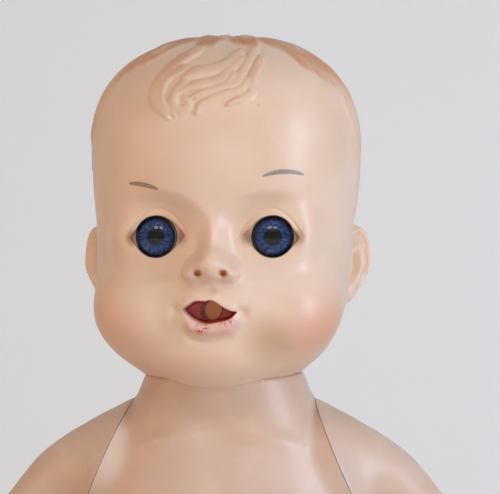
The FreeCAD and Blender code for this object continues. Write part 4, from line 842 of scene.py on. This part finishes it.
def head_material():
    """Soft vinyl, sprayed and hand painted."""
    paint = Paint(
        "soft_vinyl_head", Subsurface_Weight=0.18, Subsurface_Scale=0.004, Specular_IOR_Level=0.5
    )
    tone = skin_base(paint)
    # sprayed blush low on the cheeks
    for side, strength in ((-1, 0.55), (1, 0.75)):
        tone = paint.stain(tone, "#D9936F", strength, (side * 36, -36, FOOT + 19), (22, 30, 17))
    tone = paint.stain(tone, "#DDA487", 0.25, (0, -50, FOOT + 7), (17, 16, 9))
    # painted shade: an ochre shadow patch on the left of the jaw
    tone = paint.stain(tone, "#BE8A5A", 0.55, (18.5, -48, FOOT + 13), (13, 20, 13))
    # faded hair spray, left in the hollows between the locks
    hair, relief = paint.stored("hair"), paint.stored("relief")
    crown = paint.step(FOOT + 92, FOOT + 118, paint.z)
    worn = paint.step(0.36, 0.62, paint.noise(17, 3.0))
    hollow = paint.step(0.75, 0.25, relief)
    spray = paint.times(hair, paint.times(crown, paint.largest(worn, paint.times(hollow, 0.8))))
    tone = paint.mix(paint.times(spray, 0.85), tone, "#C57B48")
    sides = paint.times(hair, paint.times(paint.step(FOOT + 20, FOOT + 70, paint.z), 0.22))
    tone = paint.mix(sides, tone, "#CE9A6C")
    # painted shade round the eyes: darker above each inner eye, in the corners of the almond recess, and a
    # near-black ring on the well wall round each lens
    for side in (-1, 1):
        inner = (side * (EYE_X - 7.5), EYE_Y - 2, EYE_Z + 4)
        tone = paint.stain(tone, "#C68C63", 0.35, inner, (10, 9, 9))
        for across in (-9.0, 8.6):
            shaded_corner = (side * (EYE_X + across), EYE_Y - 1, EYE_Z - 0.3)
            tone = paint.stain(tone, "#9A6347", 0.75, shaded_corner, (3.6, 6, 4.2), 0.8)
        rim = (side * EYE_X, EYE_Y, EYE_Z)
        tone = paint.stain(tone, "#1E1410", 0.95, rim, (7.75, 6.0, 7.75), 0.05)
    # nostrils and nose: painted shade in the nostrils
    for side in (-1, 1):
        nostril = (side * 4.25, -57, FOOT + 37.6)
        tone = paint.stain(tone, "#BD6A33", 0.9, nostril, (2.0, 8, 1.8), 0.6)
    # mouth: red inside, pale worn lower lip
    front = paint.step(-30, -34, paint.y)
    across = paint.math("DIVIDE", paint.x, 10.5)
    down = paint.math("DIVIDE", paint.minus(paint.z, MOUTH_Z - 4.6), 4.6)
    lip = paint.math("MULTIPLY_ADD", across, across, paint.times(down, down))
    lip = paint.times(paint.step(1.1, 0.6, lip), front)
    tone = paint.mix(paint.times(lip, 0.55), tone, "#D9A294")
    specks = paint.step(0.50, 0.57, paint.noise(0.9, 3.0, 0.7))
    worn_lip = paint.spot((-3.4, -52, MOUTH_Z - 5.6), (3.6, 9, 2.6), 0.7)
    worn_lip = paint.largest(worn_lip, paint.spot((5.2, -52, MOUTH_Z - 3.6), (4.2, 9, 1.9), 0.7))
    tone = paint.mix(paint.times(paint.times(worn_lip, specks), front), tone, "#B4202C")
    inner = paint.stored("mouth")
    tone = paint.mix(inner, tone, paint.mix(paint.noise(2.0), "#C02A22", "#A81428"))
    # the amber valve face at the bottom of the bore, painted a brighter orange as painted glow of light
    # shining through the vinyl
    hole = paint.stored("spout")
    tone = paint.mix(hole, tone, "#EE9850")
    # painted brows, one bent and one slanted
    tone = paint.mix(brow(paint, -1), tone, "#8C7563")
    tone = paint.mix(brow(paint, 1), tone, "#85776C")
    # ears: painted shade, pinkish brown in each bowl and darker brown in the notch below it
    for side in (-1, 1):
        bowl, notch = (side * 50.5, 1.0, FOOT + 41), (side * 49.5, -1.0, FOOT + 33.5)
        tone = paint.stain(tone, "#C47D62", 0.7, bowl, (5.0, 5.5, 5.0))
        tone = paint.stain(tone, "#A3674C", 0.7, notch, (4.0, 4.0, 2.6))
    # a pink dot on the forehead
    tone = paint.stain(tone, "#E58D83", 0.6, (16.0, -50, FOOT + 95.5), (1.1, 12, 1.0), 0.9)
    paint.colour(tone)
    shine = paint.math("MULTIPLY_ADD", paint.noise(21, 3.0), 0.14, 0.33)
    paint.rough(paint.math("MULTIPLY_ADD", hair, 0.06, shine))
    vinyl_bump(paint)
    return paint.material


def brow(paint, side):
    """One painted brow: 1 on the stroke."""
    if side > 0:
        middle, half, lift, bend, slope, thick = 24.5, 7.2, FOOT + 72.6, 1.3, 0.06, 0.82
    else:
        middle, half, lift, bend, slope, thick = -24.4, 5.7, FOOT + 68.3, 0.6, -0.20, 0.82
    u = paint.math("DIVIDE", paint.minus(paint.x, middle), half)
    arch = paint.math("MULTIPLY_ADD", paint.times(u, u), -bend, lift)
    arch = paint.math("MULTIPLY_ADD", u, slope * half, arch)
    off = paint.math("ABSOLUTE", paint.minus(paint.z, arch))
    taper = paint.minus(1.0, paint.times(u, u))
    width = paint.times(paint.math("SQRT", paint.math("MAXIMUM", taper, 0.0)), thick)
    stroke = paint.step(0.25, -0.25, paint.minus(off, width))
    inside = paint.step(1.0, 0.97, paint.math("ABSOLUTE", u))
    streak = paint.step(0.2, 0.55, paint.noise(1.2, 2.0, 0.6, (1, 1, 4)))
    front = paint.step(-25, -30, paint.y)
    share = paint.math("MULTIPLY_ADD", streak, 0.35, 0.6)
    return paint.times(paint.times(paint.times(stroke, inside), share), front)


def shaded_body_material():
    """The same vinyl on the trunk and limbs, painted a little darker and greyer than the head as painted
    shade.
    """
    paint = Paint(
        "shaded_vinyl_body", Subsurface_Weight=0.15, Subsurface_Scale=0.004, Specular_IOR_Level=0.5
    )
    # painted shade: a darker, greyer copy of the head's skin tones
    tone = skin_base(paint, "#D6B9A3", "#D0AE92")
    paint.colour(tone)
    paint.rough(paint.math("MULTIPLY_ADD", paint.noise(21, 3.0), 0.14, 0.34))
    vinyl_bump(paint)
    return paint.material


def iris_material(side):
    """Printed iris: fibres round a black pupil, and a dark rim."""
    paint = Paint(
        f"printed_iris_{'left' if side > 0 else 'right'}", Roughness=0.6, Specular_IOR_Level=0.1
    )
    centre = EYE_LEFT if side > 0 else EYE_RIGHT
    across = paint.minus(paint.x, centre[0])
    up = paint.minus(paint.z, centre[2])
    radius = paint.math(
        "SQRT", paint.math("MULTIPLY_ADD", across, across, paint.times(up, up))
    )
    angle = paint.math("ARCTAN2", up, across)
    ring = paint.add("ShaderNodeCombineXYZ")
    paint.feed(ring.inputs[0], paint.math("COSINE", angle))
    paint.feed(ring.inputs[1], paint.math("SINE", angle))
    paint.feed(ring.inputs[2], paint.times(radius, 0.045))
    fibres = paint.add("ShaderNodeTexNoise")
    fibres.inputs["Scale"].default_value = 14.0
    fibres.inputs["Detail"].default_value = 3.0
    paint.links.new(ring.outputs[0], fibres.inputs["Vector"])
    thread = paint.step(0.42, 0.62, fibres.outputs["Fac"])
    blue = paint.mix(thread, "#0A2764", "#2F68BC")
    blue = paint.mix(paint.step(4.6, 6.4, radius), blue, "#0C2356")
    blue = paint.mix(paint.step(6.2, 6.6, radius), blue, "#05060C")
    blue = paint.mix(paint.step(2.85, 2.55, radius), blue, "#020305")
    paint.colour(blue)
    return paint.material


def lens_material():
    """Clear moulded acrylic: sharp highlights, no colour of its own."""
    paint = Paint("clear_acrylic", Roughness=0.02, IOR=1.42, Transmission_Weight=1.0)
    paint.colour("#FFFFFF")
    return paint.material


def moulded(name, base, other, rough=0.45, metal=0.0, patch_mm=9.0, grain_mm=0.6, depth=0.03, **more):
    """A made material: two close tones in patches, uneven shine, and a fine grain."""
    paint = Paint(name, Metallic=metal, **more)
    patch = paint.noise(patch_mm, 3.0)
    tone = paint.mix(paint.step(0.35, 0.65, patch), base, other)
    paint.colour(tone)
    paint.rough(paint.math("MULTIPLY_ADD", paint.noise(patch_mm * 0.6, 3.0), 0.16, rough - 0.08))
    paint.bump(paint.noise(grain_mm, 2.0), depth)
    return paint


def cell_material():
    """Printed foil jacket: a dark band, a copper band, bare zinc ends."""
    paint = Paint("cell_jacket", Metallic=0.75)
    low, high = box_mm("left_battery_cell")
    middle = (low[2] + high[2]) / 2
    off = paint.math("ABSOLUTE", paint.minus(paint.z, middle))
    tone = paint.mix(paint.step(12.0, 12.3, off), "#15306B", "#C77F3D")
    tone = paint.mix(paint.step(22.6, 22.9, off), tone, "#B9BDC0")
    scuff = paint.step(0.58, 0.72, paint.noise(2.2, 4.0, 0.7, (1, 1, 0.3)))
    paint.colour(paint.mix(paint.times(scuff, 0.35), tone, "#9EA3A8"))
    paint.rough(paint.math("MULTIPLY_ADD", scuff, 0.2, 0.28))
    paint.bump(paint.noise(0.7, 2.0), 0.02)
    return paint.material


def board_material():
    """Green solder mask over copper tracks, with tinned pads."""
    paint = Paint("board_laminate", Specular_IOR_Level=0.6)
    tracks = paint.add("ShaderNodeTexBrick")
    tracks.inputs["Scale"].default_value = 1.0 / (6.0 * MM)
    tracks.inputs["Mortar Size"].default_value = 0.09
    tracks.offset_frequency = 2
    turn = paint.add("ShaderNodeMapping")
    turn.inputs["Rotation"].default_value = (math.radians(90), 0, 0)
    paint.links.new(paint.place, turn.inputs["Vector"])
    paint.links.new(turn.outputs[0], tracks.inputs["Vector"])
    tone = paint.mix(tracks.outputs["Fac"], "#0E5A34", "#2E8A55")
    tone = paint.mix(paint.times(paint.step(0.4, 0.7, paint.noise(7.0)), 0.4), tone, "#0B4A2B")
    paint.colour(tone)
    paint.rough(paint.math("MULTIPLY_ADD", paint.noise(3.0), 0.15, 0.22))
    paint.bump(tracks.outputs["Fac"], 0.03)
    return paint.material


def dress_cad_nodes():
    """Gives each CAD piece that stays its own material."""
    steel = moulded("zinc_plated_steel", "#B7BBC0", "#A3A49C", 0.32, 1.0, 4.0, 0.4)
    bright = moulded("nickel_plate", "#C9C8C2", "#B4B0A6", 0.24, 1.0, 3.0, 0.3)
    shell = moulded("hard_polystyrene", "#D9B79D", "#D2AE92", 0.42, 0.0, 30.0, 0.7, 0.05)
    white = moulded("white_polythene", "#E6E4DC", "#DAD7CB", 0.5, 0.0, 12.0, 0.6)
    looks = {
        shell: ["battery_door", "battery_box"],
        steel: [
            "door_screw", "torso_screws", "board_screws", "left_eye_washer", "right_eye_washer",
            "tilt_switch_ball", "speaker_frame",
        ],
        bright: ["battery_contacts", "battery_springs"],
        white: ["left_eye_cup", "right_eye_cup", "neck_funnel", "speaker_clamp"],
        moulded("red_vinyl_cup", "#8E1A18", "#7B1214", 0.4, 0.0, 5.0, 0.5): ["mouth_cup"],
        moulded("amber_rubber", "#B0692F", "#9A5524", 0.5, 0.0, 4.0, 0.4): [
            "mouth_valve", "drinking_tube",
        ],
        moulded("seal_rubber", "#2B2B2D", "#38383A", 0.7, 0.0, 6.0, 0.4): ["door_seal"],
        moulded("dark_epoxy", "#131316", "#1E1E22", 0.25, 0.0, 3.0, 0.5): ["voice_chip"],
        moulded("aluminium_can", "#BFC3C6", "#AAB0B5", 0.3, 1.0, 2.0, 0.3): ["capacitors"],
        moulded("black_acetal", "#1B1B1D", "#29292C", 0.45, 0.0, 5.0, 0.5): [
            "power_switch_case", "power_slider", "tilt_switch_case",
        ],
        moulded("ferrite", "#37383B", "#2B2C2E", 0.6, 0.0, 3.0, 0.4, 0.06): ["speaker_magnet"],
        moulded("cone_paper", "#3A352F", "#2C2823", 0.85, 0.0, 2.0, 0.5, 0.12): ["speaker_cone"],
        moulded("red_lead", "#B02A22", "#9C221C", 0.4, 0.0, 6.0, 0.4): ["speaker_leads"],
        moulded("grey_rubber", "#A9A296", "#99917F", 0.6, 0.0, 6.0, 0.5): [
            "drain_tube", "drain_nozzle",
        ],
    }
    for paint, nodes in looks.items():
        for node in nodes:
            dress(NODES[node], paint.material)
    jacket = cell_material()
    dress(NODES["left_battery_cell"], jacket)
    dress(NODES["right_battery_cell"], jacket)
    dress(NODES["circuit_board"], board_material())


# ---------------------------------------------------------------- eyes


def make_lens(side, material):
    """The clear dome of one eye."""
    word = "left" if side > 0 else "right"
    centre = EYE_LEFT if side > 0 else EYE_RIGHT
    look = np.array([side * math.sin(EYE_TURN), -math.cos(EYE_TURN), 0.0])
    wide = np.array([math.cos(EYE_TURN), side * math.sin(EYE_TURN), 0.0])
    face = centre + look * 0.22
    rise = 4.2
    sphere = (EYE_RADIUS**2 + rise**2) / (2 * rise)
    rows, around = 22, 96
    centres, radii = [face + look * 0.06], [EYE_RADIUS - 0.15]
    for i in range(rows):
        polar = math.asin(EYE_RADIUS / sphere) * (1 - i / rows)
        radii.append(sphere * math.sin(polar))
        centres.append(face + look * (sphere * math.cos(polar) - (sphere - rise) + 0.06))
    radii[-1] = 0.25
    p, f = tube_rings(centres, [look] * len(radii), [wide] * len(radii), radii, radii, around)
    p[-1] = face + look * (rise + 0.06)
    obj = link(bpy.data.objects.new(word + "_eye_lens", mesh_from(word + "_eye_lens", p, f)))
    return finish_piece(obj, "head", material, "clear_acrylic", word + "_eye_dome")


# ---------------------------------------------------------------- trunk

SHELL_WALL = 2.6
SCREW_X, SCREW_LEVELS = 37, (76.0, 126.0)
TORSO_TOP = FOOT - 0.3
# height, half width, belly and back at each level of the trunk
TORSO_LEVELS = [
    (0.0, 31.9, 24.0, 28.1), (6.0, 43.3, 35.5, 34.3), (20.0, 53.0, 43.7, 37.8),
    (45.0, 56.1, 48.0, 39.0), (76.0, 54.4, 47.3, 38.4), (106.0, 52.2, 42.2, 37.2),
    (135.0, 51.3, 37.9, 36.5), (160.0, 48.4, 34.6, 34.3), (180.0, 39.9, 31.0, 31.4),
    (192.0, 34.2, 29.0, 29.8), (TORSO_TOP, 29.5, 28.5, 29.5),
]
# middle, outward axis and radius of each flat joint face: right arm and leg, left arm and leg
JOINTS = [
    (np.array([side * spread, 0.0, level]), np.array([side * out, 0.0, up]), radius)
    for side in (-1, 1)
    for spread, level, out, up, radius in (
        (44.0, 170.0, 0.9178, 0.3971, 25.0),
        (41.0, 37.0, 0.9397, -0.342, 27.0),
    )
]


def superellipse_rings(levels, around=96, power=2.3):
    """A closed stack of rounded rings."""
    columns = np.array(levels)
    halves = [curve_through(columns[:, 0], columns[:, i]) for i in (1, 2, 3)]
    heights = np.linspace(columns[0, 0], columns[-1, 0], 60)
    points = []
    for z in heights:
        half, front, back = (float(h(z)) for h in halves)
        for angle in np.arange(around) * 2 * math.pi / around:
            c, s = math.cos(angle), math.sin(angle)
            x = math.copysign(abs(c) ** (2 / power), c) * half
            y = math.copysign(abs(s) ** (2 / power), s) * (front if s < 0 else back)
            points.append((x, y, z))
    points += [(0, 0, heights[0]), (0, 0, heights[-1])]
    return np.array(points), stack_faces(len(heights), around)


def rod(base, tip, r0, r1, around=40):
    """A flat-ended rod or cone."""
    base, tip = np.asarray(base, float), np.asarray(tip, float)
    n = (tip - base) / np.linalg.norm(tip - base)
    wide = np.array([0.0, 1.0, 0.0]) if abs(n[1]) < 0.9 else np.array([1.0, 0.0, 0.0])
    return tube_rings([base, tip], [n, n], [wide, wide], [r0, r1], [r0, r1], around)


def brick(low, high):
    """A box."""
    (a, b, c), (d, e, f) = low, high
    points = [(a, b, c), (d, b, c), (d, e, c), (a, e, c), (a, b, f), (d, b, f), (d, e, f), (a, e, f)]
    faces = [(0, 3, 2, 1), (4, 5, 6, 7), (0, 1, 5, 4), (1, 2, 6, 5), (2, 3, 7, 6), (3, 0, 4, 7)]
    return np.array(points, float), faces


def trunk_relief(p, normals):
    """Navel, chest, collar bones, the fold over the seat, and a groove low on the back."""
    x, y, z = p[:, 0], p[:, 1], p[:, 2]
    front = ramp(5, -10, y)
    rise = np.zeros(len(p))
    navel = np.hypot(x / 3.4, (z - 74) / 3.0)
    rise -= 2.6 * bell(navel, 1.0) * front
    rise += 0.8 * bell(navel - 1.9, 0.8) * front
    for side in (-1, 1):
        breast = np.hypot((x - side * 21) / 19, (z - 148) / 15)
        rise += 1.6 * bell(breast, 1.0) * front
        rise += 0.5 * bell(np.hypot(x - side * 21, z - 146), 2.0) * front
        collar = np.abs(z - 185 + 0.22 * np.abs(x))
        rise += 0.7 * bell(collar, 3.0) * bell(np.abs(x) - 18, 13) * front
    rise -= 0.8 * bell(x, 5.0) * bell(z - 150, 22) * front
    rise -= 1.1 * bell(z - 30 - 0.006 * x**2, 3.0) * front * ramp(40, 20, np.abs(x))
    rise -= 1.0 * bell(z - 112 + 0.004 * x**2, 3.5) * front * ramp(60, 30, np.abs(x))
    back = ramp(10, 25, y)
    rise -= 2.2 * bell(x, 3.0) * ramp(34, 20, z) * back
    return p + normals * rise[:, None]


def make_trunk(material):
    """The two hard torso shells, which part along the doll's sides."""
    forms = [superellipse_rings(TORSO_LEVELS)]
    for centre, axis, radius in JOINTS:
        forms.append(rod(centre - axis * 30, centre + axis * 3.0, radius * 0.8, radius + 0.3))
    obj = fused("trunk_form", forms, 1.5, rounds=10)
    p = trunk_relief(points_of(obj.data), normals_of(obj.data))
    hatch_low, hatch_high = box_mm("battery_box")
    near = ramp(28.0, 22.5, np.abs(p[:, 0])) * ramp(hatch_low[2] - 7, hatch_low[2] - 1, p[:, 2])
    near = near * ramp(hatch_high[2] + 13, hatch_high[2] + 7, p[:, 2]) * (p[:, 1] > 20)
    flat = box_mm("battery_door")[1][1]
    p[:, 1] = p[:, 1] * (1 - near) + np.minimum(flat, p[:, 1]) * near
    p[:, 2] = np.clip(p[:, 2], 0.0, TORSO_TOP)
    set_points(obj.data, p)
    trims = []
    for centre, axis, radius in JOINTS:
        flare = 0.0 if radius < 26 else 14.0
        trims.append(rod(centre, centre + axis * 40, radius + 3.0, radius + 3.0 + flare, 96))
    cut_away(obj, "joint_faces", trims)
    inner = obj.data.copy()
    set_points(inner, points_of(inner) - normals_of(inner) * SHELL_WALL)
    with editing(inner) as bm:
        bmesh.ops.reverse_faces(bm, faces=bm.faces)
        bm.from_mesh(obj.data)
    halves = []
    for word, way in (("front", 1), ("back", -1)):
        half = link(bpy.data.objects.new("trunk_" + word, inner.copy()))
        part_at_seam(half.data, way)
        halves.append(half)
    bpy.data.objects.remove(obj)
    front, back = halves
    nozzle = middle_mm("drain_nozzle")
    cut_away(front, "drain", [rod((0, nozzle[1], -5), (0, nozzle[1], 12), 6.3, 6.3)])
    cut_away(back, "back_openings", back_openings())
    finish_piece(front, "torso", material, "hard_shell", "torso_front")
    finish_piece(back, "torso", material, "hard_shell", "torso_back")


def part_at_seam(mesh, way):
    """Keeps the front or the back half of a hollow mesh, and closes its cut edge."""
    with editing(mesh) as bm:
        bmesh.ops.bisect_plane(
            bm,
            geom=bm.verts[:] + bm.edges[:] + bm.faces[:],
            plane_co=(0, -way * 0.06 * MM, 0),
            plane_no=(0, way, 0),
            clear_outer=True,
        )
        open_edges = [e for e in bm.edges if e.is_boundary]
        bmesh.ops.triangle_fill(bm, edges=open_edges, use_beauty=True, normal=(0, way, 0))
        bmesh.ops.recalc_face_normals(bm, faces=bm.faces)


def back_openings():
    """The hatch, the speaker grille, the switch slot and the screw wells."""
    low, high = box_mm("battery_box")
    cutters = [brick(low - [0.3, 6.0, 0.3], high + [0.3, 10.0, 0.3])]
    speaker = middle_mm("speaker_frame")
    pitch = 5.2
    for across in range(-2, 3):
        for up in range(-2, 3):
            x, z = pitch * (across + up / 2), pitch * up * math.sqrt(3) / 2
            if math.hypot(x, z) < 2.2 * pitch:
                start = speaker + [x, 2, z]
                cutters.append(rod(start, start + [0, 30, 0], 1.2, 1.2, 20))
    slider = box_mm("power_slider")
    reach = slider[1][0] + 4.0 + 0.3
    cutters.append(
        brick((-reach, 25, slider[0][2] - 0.3), (reach, 60, slider[1][2] + 0.3))
    )
    for side in (-1, 1):
        for z in SCREW_LEVELS:
            cutters.append(rod((side * SCREW_X, 7, z), (side * SCREW_X, 60, z), 3.0, 3.0, 28))
    return cutters


# ---------------------------------------------------------------- limbs

# each station: centre, the way the limb runs, half width and half thickness
ARM = [
    ((41.6, 0, 168.9), (0.92, 0, 0.40), 25.6, 25.6),
    ((44.3, 0, 170.1), (0.92, 0, 0.40), 25.0, 25.0),
    ((48.4, 0, 168.3), (0.97, 0, 0.26), 21.4, 21.4),
    ((52.8, 0, 166.0), (1.0, 0, 0.0), 17.6, 17.4),
    ((57.0, 0, 163.6), (0.95, 0, -0.30), 15.4, 15.0),
    ((61.2, 0, 160.4), (0.82, 0, -0.57), 14.6, 14.0),
    ((65.5, 0, 155.8), (0.62, 0, -0.78), 14.2, 13.5),
    ((74.2, -0.5, 144.8), (0.55, -0.08, -0.83), 14.0, 13.4),
    ((85.4, -4.0, 131.4), (0.48, -0.34, -0.81), 13.0, 12.8),
    ((93.6, -13.0, 121.6), (0.33, -0.72, -0.61), 13.0, 12.8),
    ((97.0, -24.0, 113.3), (0.16, -0.80, -0.58), 12.8, 12.6),
    ((98.4, -34.5, 105.9), (0.10, -0.82, -0.56), 10.6, 10.0),
    ((99.2, -41.0, 101.4), (0.08, -0.83, -0.55), 8.6, 7.0),
    ((100.2, -50.0, 95.7), (0.06, -0.85, -0.52), 11.2, 7.4),
    ((100.7, -59.5, 89.9), (0.04, -0.87, -0.49), 12.2, 6.2),
    ((100.8, -64.0, 87.3), (0.04, -0.87, -0.49), 10.4, 4.2),
]
ARM_FLAT = (0.72, 0.15, 0.68)
LEG = [
    ((38.5, 0, 37.9), (0.94, 0, -0.34), 27.4, 27.4),
    ((41.3, 0, 36.9), (0.94, 0, -0.34), 27.0, 27.0),
    ((46.0, -1.5, 35.4), (0.92, -0.18, -0.31), 25.7, 25.7),
    ((51.1, -3.9, 33.9), (0.88, -0.40, -0.26), 24.7, 24.7),
    ((56.5, -7.5, 32.5), (0.76, -0.62, -0.18), 24.0, 24.0),
    ((61.4, -12.9, 31.6), (0.57, -0.82, -0.08), 23.5, 23.5),
    ((64.2, -17.5, 31.2), (0.44, -0.90, -0.02), 23.2, 23.2),
    ((71.0, -33.3, 28.4), (0.36, -0.92, -0.14), 22.3, 22.3),
    ((76.0, -51.8, 26.6), (0.20, -0.97, -0.10), 20.5, 20.5),
    ((77.0, -68.8, 25.8), (-0.04, -1.0, -0.04), 19.2, 19.2),
    ((75.0, -87.3, 23.2), (-0.13, -0.97, -0.22), 18.4, 18.4),
    ((72.4, -104.8, 18.4), (-0.10, -0.97, -0.22), 14.4, 14.4),
    ((71.6, -112.0, 16.2), (-0.05, -0.99, -0.12), 12.6, 12.6),
]
# the foot, from the heel to the ball: centre and radii of balls that are blended together
FOOT_BALLS = [
    ((71.4, -117.5, 14.6), (12.0, 12.0, 13.2)), ((71.4, -122.5, 19.5), (12.4, 12.2, 14.0)),
    ((71.4, -123.5, 28.0), (12.8, 12.4, 13.0)), ((71.8, -125.5, 36.0), (13.4, 10.6, 12.0)),
    ((72.2, -127.0, 42.0), (13.4, 8.2, 8.6)),
]
CREASES_ARM = ((8.4, 0.35, 0.05), (11.75, 0.22, 0.13))
CREASES_LEG = ((6.4, 0.25, 0.05), (8.8, 0.30, 0.05), (11.6, 0.25, 0.06))


def limb_tube(stations, flat, creases, steps=7):
    """A limb through its stations, pinched a little at its creases."""
    rows = np.array([[*c, *n, a, b] for c, n, a, b in stations], float)
    rows = smooth_line(rows, steps)
    centres, normals = rows[:, :3], rows[:, 3:6]
    normals = normals / np.linalg.norm(normals, axis=1)[:, None]
    at = np.arange(len(rows)) / steps
    pinch = np.ones(len(rows))
    for where, wide, deep in creases:
        pinch -= deep * bell(at - where, wide)
    return tube_rings(
        list(centres), list(normals), [np.array(flat, float)] * len(rows),
        rows[:, 6] * pinch, rows[:, 7] * pinch, 64,
    )


def fingers():
    """Four fingers and a thumb, slightly curled."""
    n = np.array([0.04, -0.87, -0.49])
    flat = np.array(ARM_FLAT) - n * (np.array(ARM_FLAT) @ n)
    flat = flat / np.linalg.norm(flat)
    palm_side = np.cross(n, flat)
    base = np.array([100.8, -60.5, 89.2])
    forms = []
    for place, length, radius in ((-8.6, 12.5, 2.9), (-2.9, 15.6, 3.2), (3.0, 16.4, 3.2), (8.7, 14.2, 3.1)):
        knuckle = base + flat * place
        middle = knuckle + n * (length * 0.55) + palm_side * 0.6 + flat * (place * -0.03)
        tip = knuckle + n * length + palm_side * 2.2 - flat * (place * 0.14)
        forms.append(capsule(knuckle, middle, radius + 0.5, radius + 0.1))
        forms.append(capsule(middle, tip - n * 2.0, radius + 0.1, radius - 0.4))
    forms.append(capsule((94.6, -46.5, 92.3), (90.6, -55.0, 87.6), 4.6, 4.0))
    forms.append(capsule((90.6, -55.0, 87.6), (89.3, -61.0, 85.4), 4.0, 3.3))
    return forms


def toes():
    """Five toes along the top of the foot."""
    forms = []
    for x, top, radius in (
        (64.2, 50.4, 3.9), (69.9, 50.2, 3.1), (74.6, 49.6, 2.9), (78.9, 48.2, 2.7), (82.7, 46.0, 2.5),
    ):
        forms.append(capsule((x, -127.4, 41.0), (x + 0.2, -127.9, top), radius + 0.6, radius))
    return forms


def trim_flat(mesh, place, normal):
    """Cuts a mesh off flat behind a plane, and closes it."""
    with editing(mesh) as bm:
        bmesh.ops.bisect_plane(
            bm,
            geom=bm.verts[:] + bm.edges[:] + bm.faces[:],
            plane_co=tuple(place * MM),
            plane_no=tuple(normal),
            clear_inner=True,
        )
        bmesh.ops.holes_fill(bm, edges=[e for e in bm.edges if e.is_boundary], sides=0)


def make_limbs(material):
    """Arms and legs of soft vinyl: the right ones mirror the left ones."""
    for word, (centre, axis, _), forms in (
        ("arm", JOINTS[2], [limb_tube(ARM, ARM_FLAT, CREASES_ARM)] + fingers()),
        (
            "leg",
            JOINTS[3],
            [limb_tube(LEG, (1, 0, 0), CREASES_LEG)] + [ball(*form) for form in FOOT_BALLS] + toes(),
        ),
    ):
        obj = fused("left_" + word + "_skin", forms, 0.95 if word == "arm" else 1.2, rounds=8)
        trim_flat(obj.data, centre + axis * 0.2, axis)
        p = points_of(obj.data)
        if word == "leg":
            p[:, 2] = np.maximum(p[:, 2], 0.2)
        set_points(obj.data, p)
        mirror = obj.data.copy()
        p[:, 0] *= -1
        set_points(mirror, p)
        with editing(mirror) as bm:
            bmesh.ops.reverse_faces(bm, faces=bm.faces)
        other = link(bpy.data.objects.new("right_" + word + "_skin", mirror))
        finish_piece(obj, "left_" + word, material, "soft_vinyl", "left_" + word)
        finish_piece(other, "right_" + word, material, "soft_vinyl", "right_" + word)


# ---------------------------------------------------------------- stage


def make_stage():
    """Pale floor that rises into a backdrop, soft lamps, and the camera.

    Gives back the lamps that are kept off the eye lenses, which mirror only the two windows.
    """
    floor = mesh_from("floor", [(-1500, -1500, -0.3), (1500, -1500, -0.3), (1500, 900, -0.3),
                                (-1500, 900, -0.3), (-1500, 1300, 1800), (1500, 1300, 1800)],
                      [(0, 1, 2, 3), (3, 2, 5, 4)])
    obj = link(bpy.data.objects.new("floor", floor))
    paint = Paint("pale_paper", Roughness=0.9)
    paint.colour("#E9E9E7")
    rays = paint.add("ShaderNodeLightPath").outputs
    seen = paint.largest(*(rays[f"Is {kind} Ray"] for kind in ("Camera", "Glossy", "Transmission")))
    paint.shader.inputs["Emission Color"].default_value = linear("#F2F2F0")
    paint.feed(paint.shader.inputs["Emission Strength"], paint.times(seen, 0.22))
    obj.data.materials.append(paint.material)

    world = bpy.data.worlds.new("studio")
    bpy.context.scene.world = world
    world.use_nodes = True
    background = world.node_tree.nodes["Background"]
    background.inputs["Color"].default_value = linear("#F2F3F6")
    background.inputs["Strength"].default_value = 0.26

    def panel(name, place, target, width, height, power, tint):
        light = bpy.data.lights.new(name, "AREA")
        light.shape = "RECTANGLE"
        light.size, light.size_y = width, height
        light.energy = power
        light.color = linear(tint)[:3]
        lamp = link(bpy.data.objects.new(name, light))
        lamp.location = place
        lamp.rotation_mode = "QUATERNION"
        lamp.rotation_quaternion = (Vector(target) - Vector(place)).to_track_quat("-Z", "Y")
        return lamp

    face = (0, -0.04, 0.25)
    panel("window_a", (-0.20, -0.85, 1.15), face, 0.36, 0.30, 2.2, "#FFFFFF")
    panel("window_b", (0.33, -0.85, 1.15), face, 0.36, 0.30, 2.2, "#FFFFFF")
    side_lights = [
        panel("right_window", (1.08, -0.55, 0.30), face, 0.30, 0.9, 12.0, "#CFE0FF"),
        panel("left_warmth", (-1.1, -0.55, 0.30), face, 0.7, 0.9, 4.0, "#FFC088"),
        panel("front_fill", (0.1, -1.3, 0.15), face, 0.9, 0.5, 3.0, "#FFF6EC"),
    ]

    camera = bpy.data.cameras.new("camera")
    camera.sensor_width = 36.0
    camera.lens = 104.184
    camera.clip_start, camera.clip_end = 0.02, 10
    eye = link(bpy.data.objects.new("camera", camera))
    azimuth = math.radians(4.0)
    away = Vector((math.sin(azimuth), -math.cos(azimuth), 0.0))
    beside, height, distance = 0.0095, 0.2504, 0.55
    aim = Vector((math.cos(azimuth) * beside, math.sin(azimuth) * beside, height))
    eye.location = aim + away * distance
    eye.rotation_mode = "QUATERNION"
    eye.rotation_quaternion = (-away).to_track_quat("-Z", "Y")
    bpy.context.scene.camera = eye
    bpy.context.scene.view_settings.view_transform = "Standard"
    return side_lights


# ---------------------------------------------------------------- build

side_lights = make_stage()
vinyl = shaded_body_material()
head = make_head(head_material())
paint_mouth(head.data)

lens = lens_material()
eyes = bpy.data.collections.new("lenses")
for side, word in ((-1, "right"), (1, "left")):
    eyes.objects.link(make_lens(side, lens))
    dress(NODES[word + "_eye_iris"], iris_material(side))
for entry in eyes.collection_objects:
    entry.light_linking.link_state = "EXCLUDE"
for lamp in side_lights:
    lamp.light_linking.receiver_collection = eyes
dress_cad_nodes()
make_trunk(vinyl)
make_limbs(vinyl)
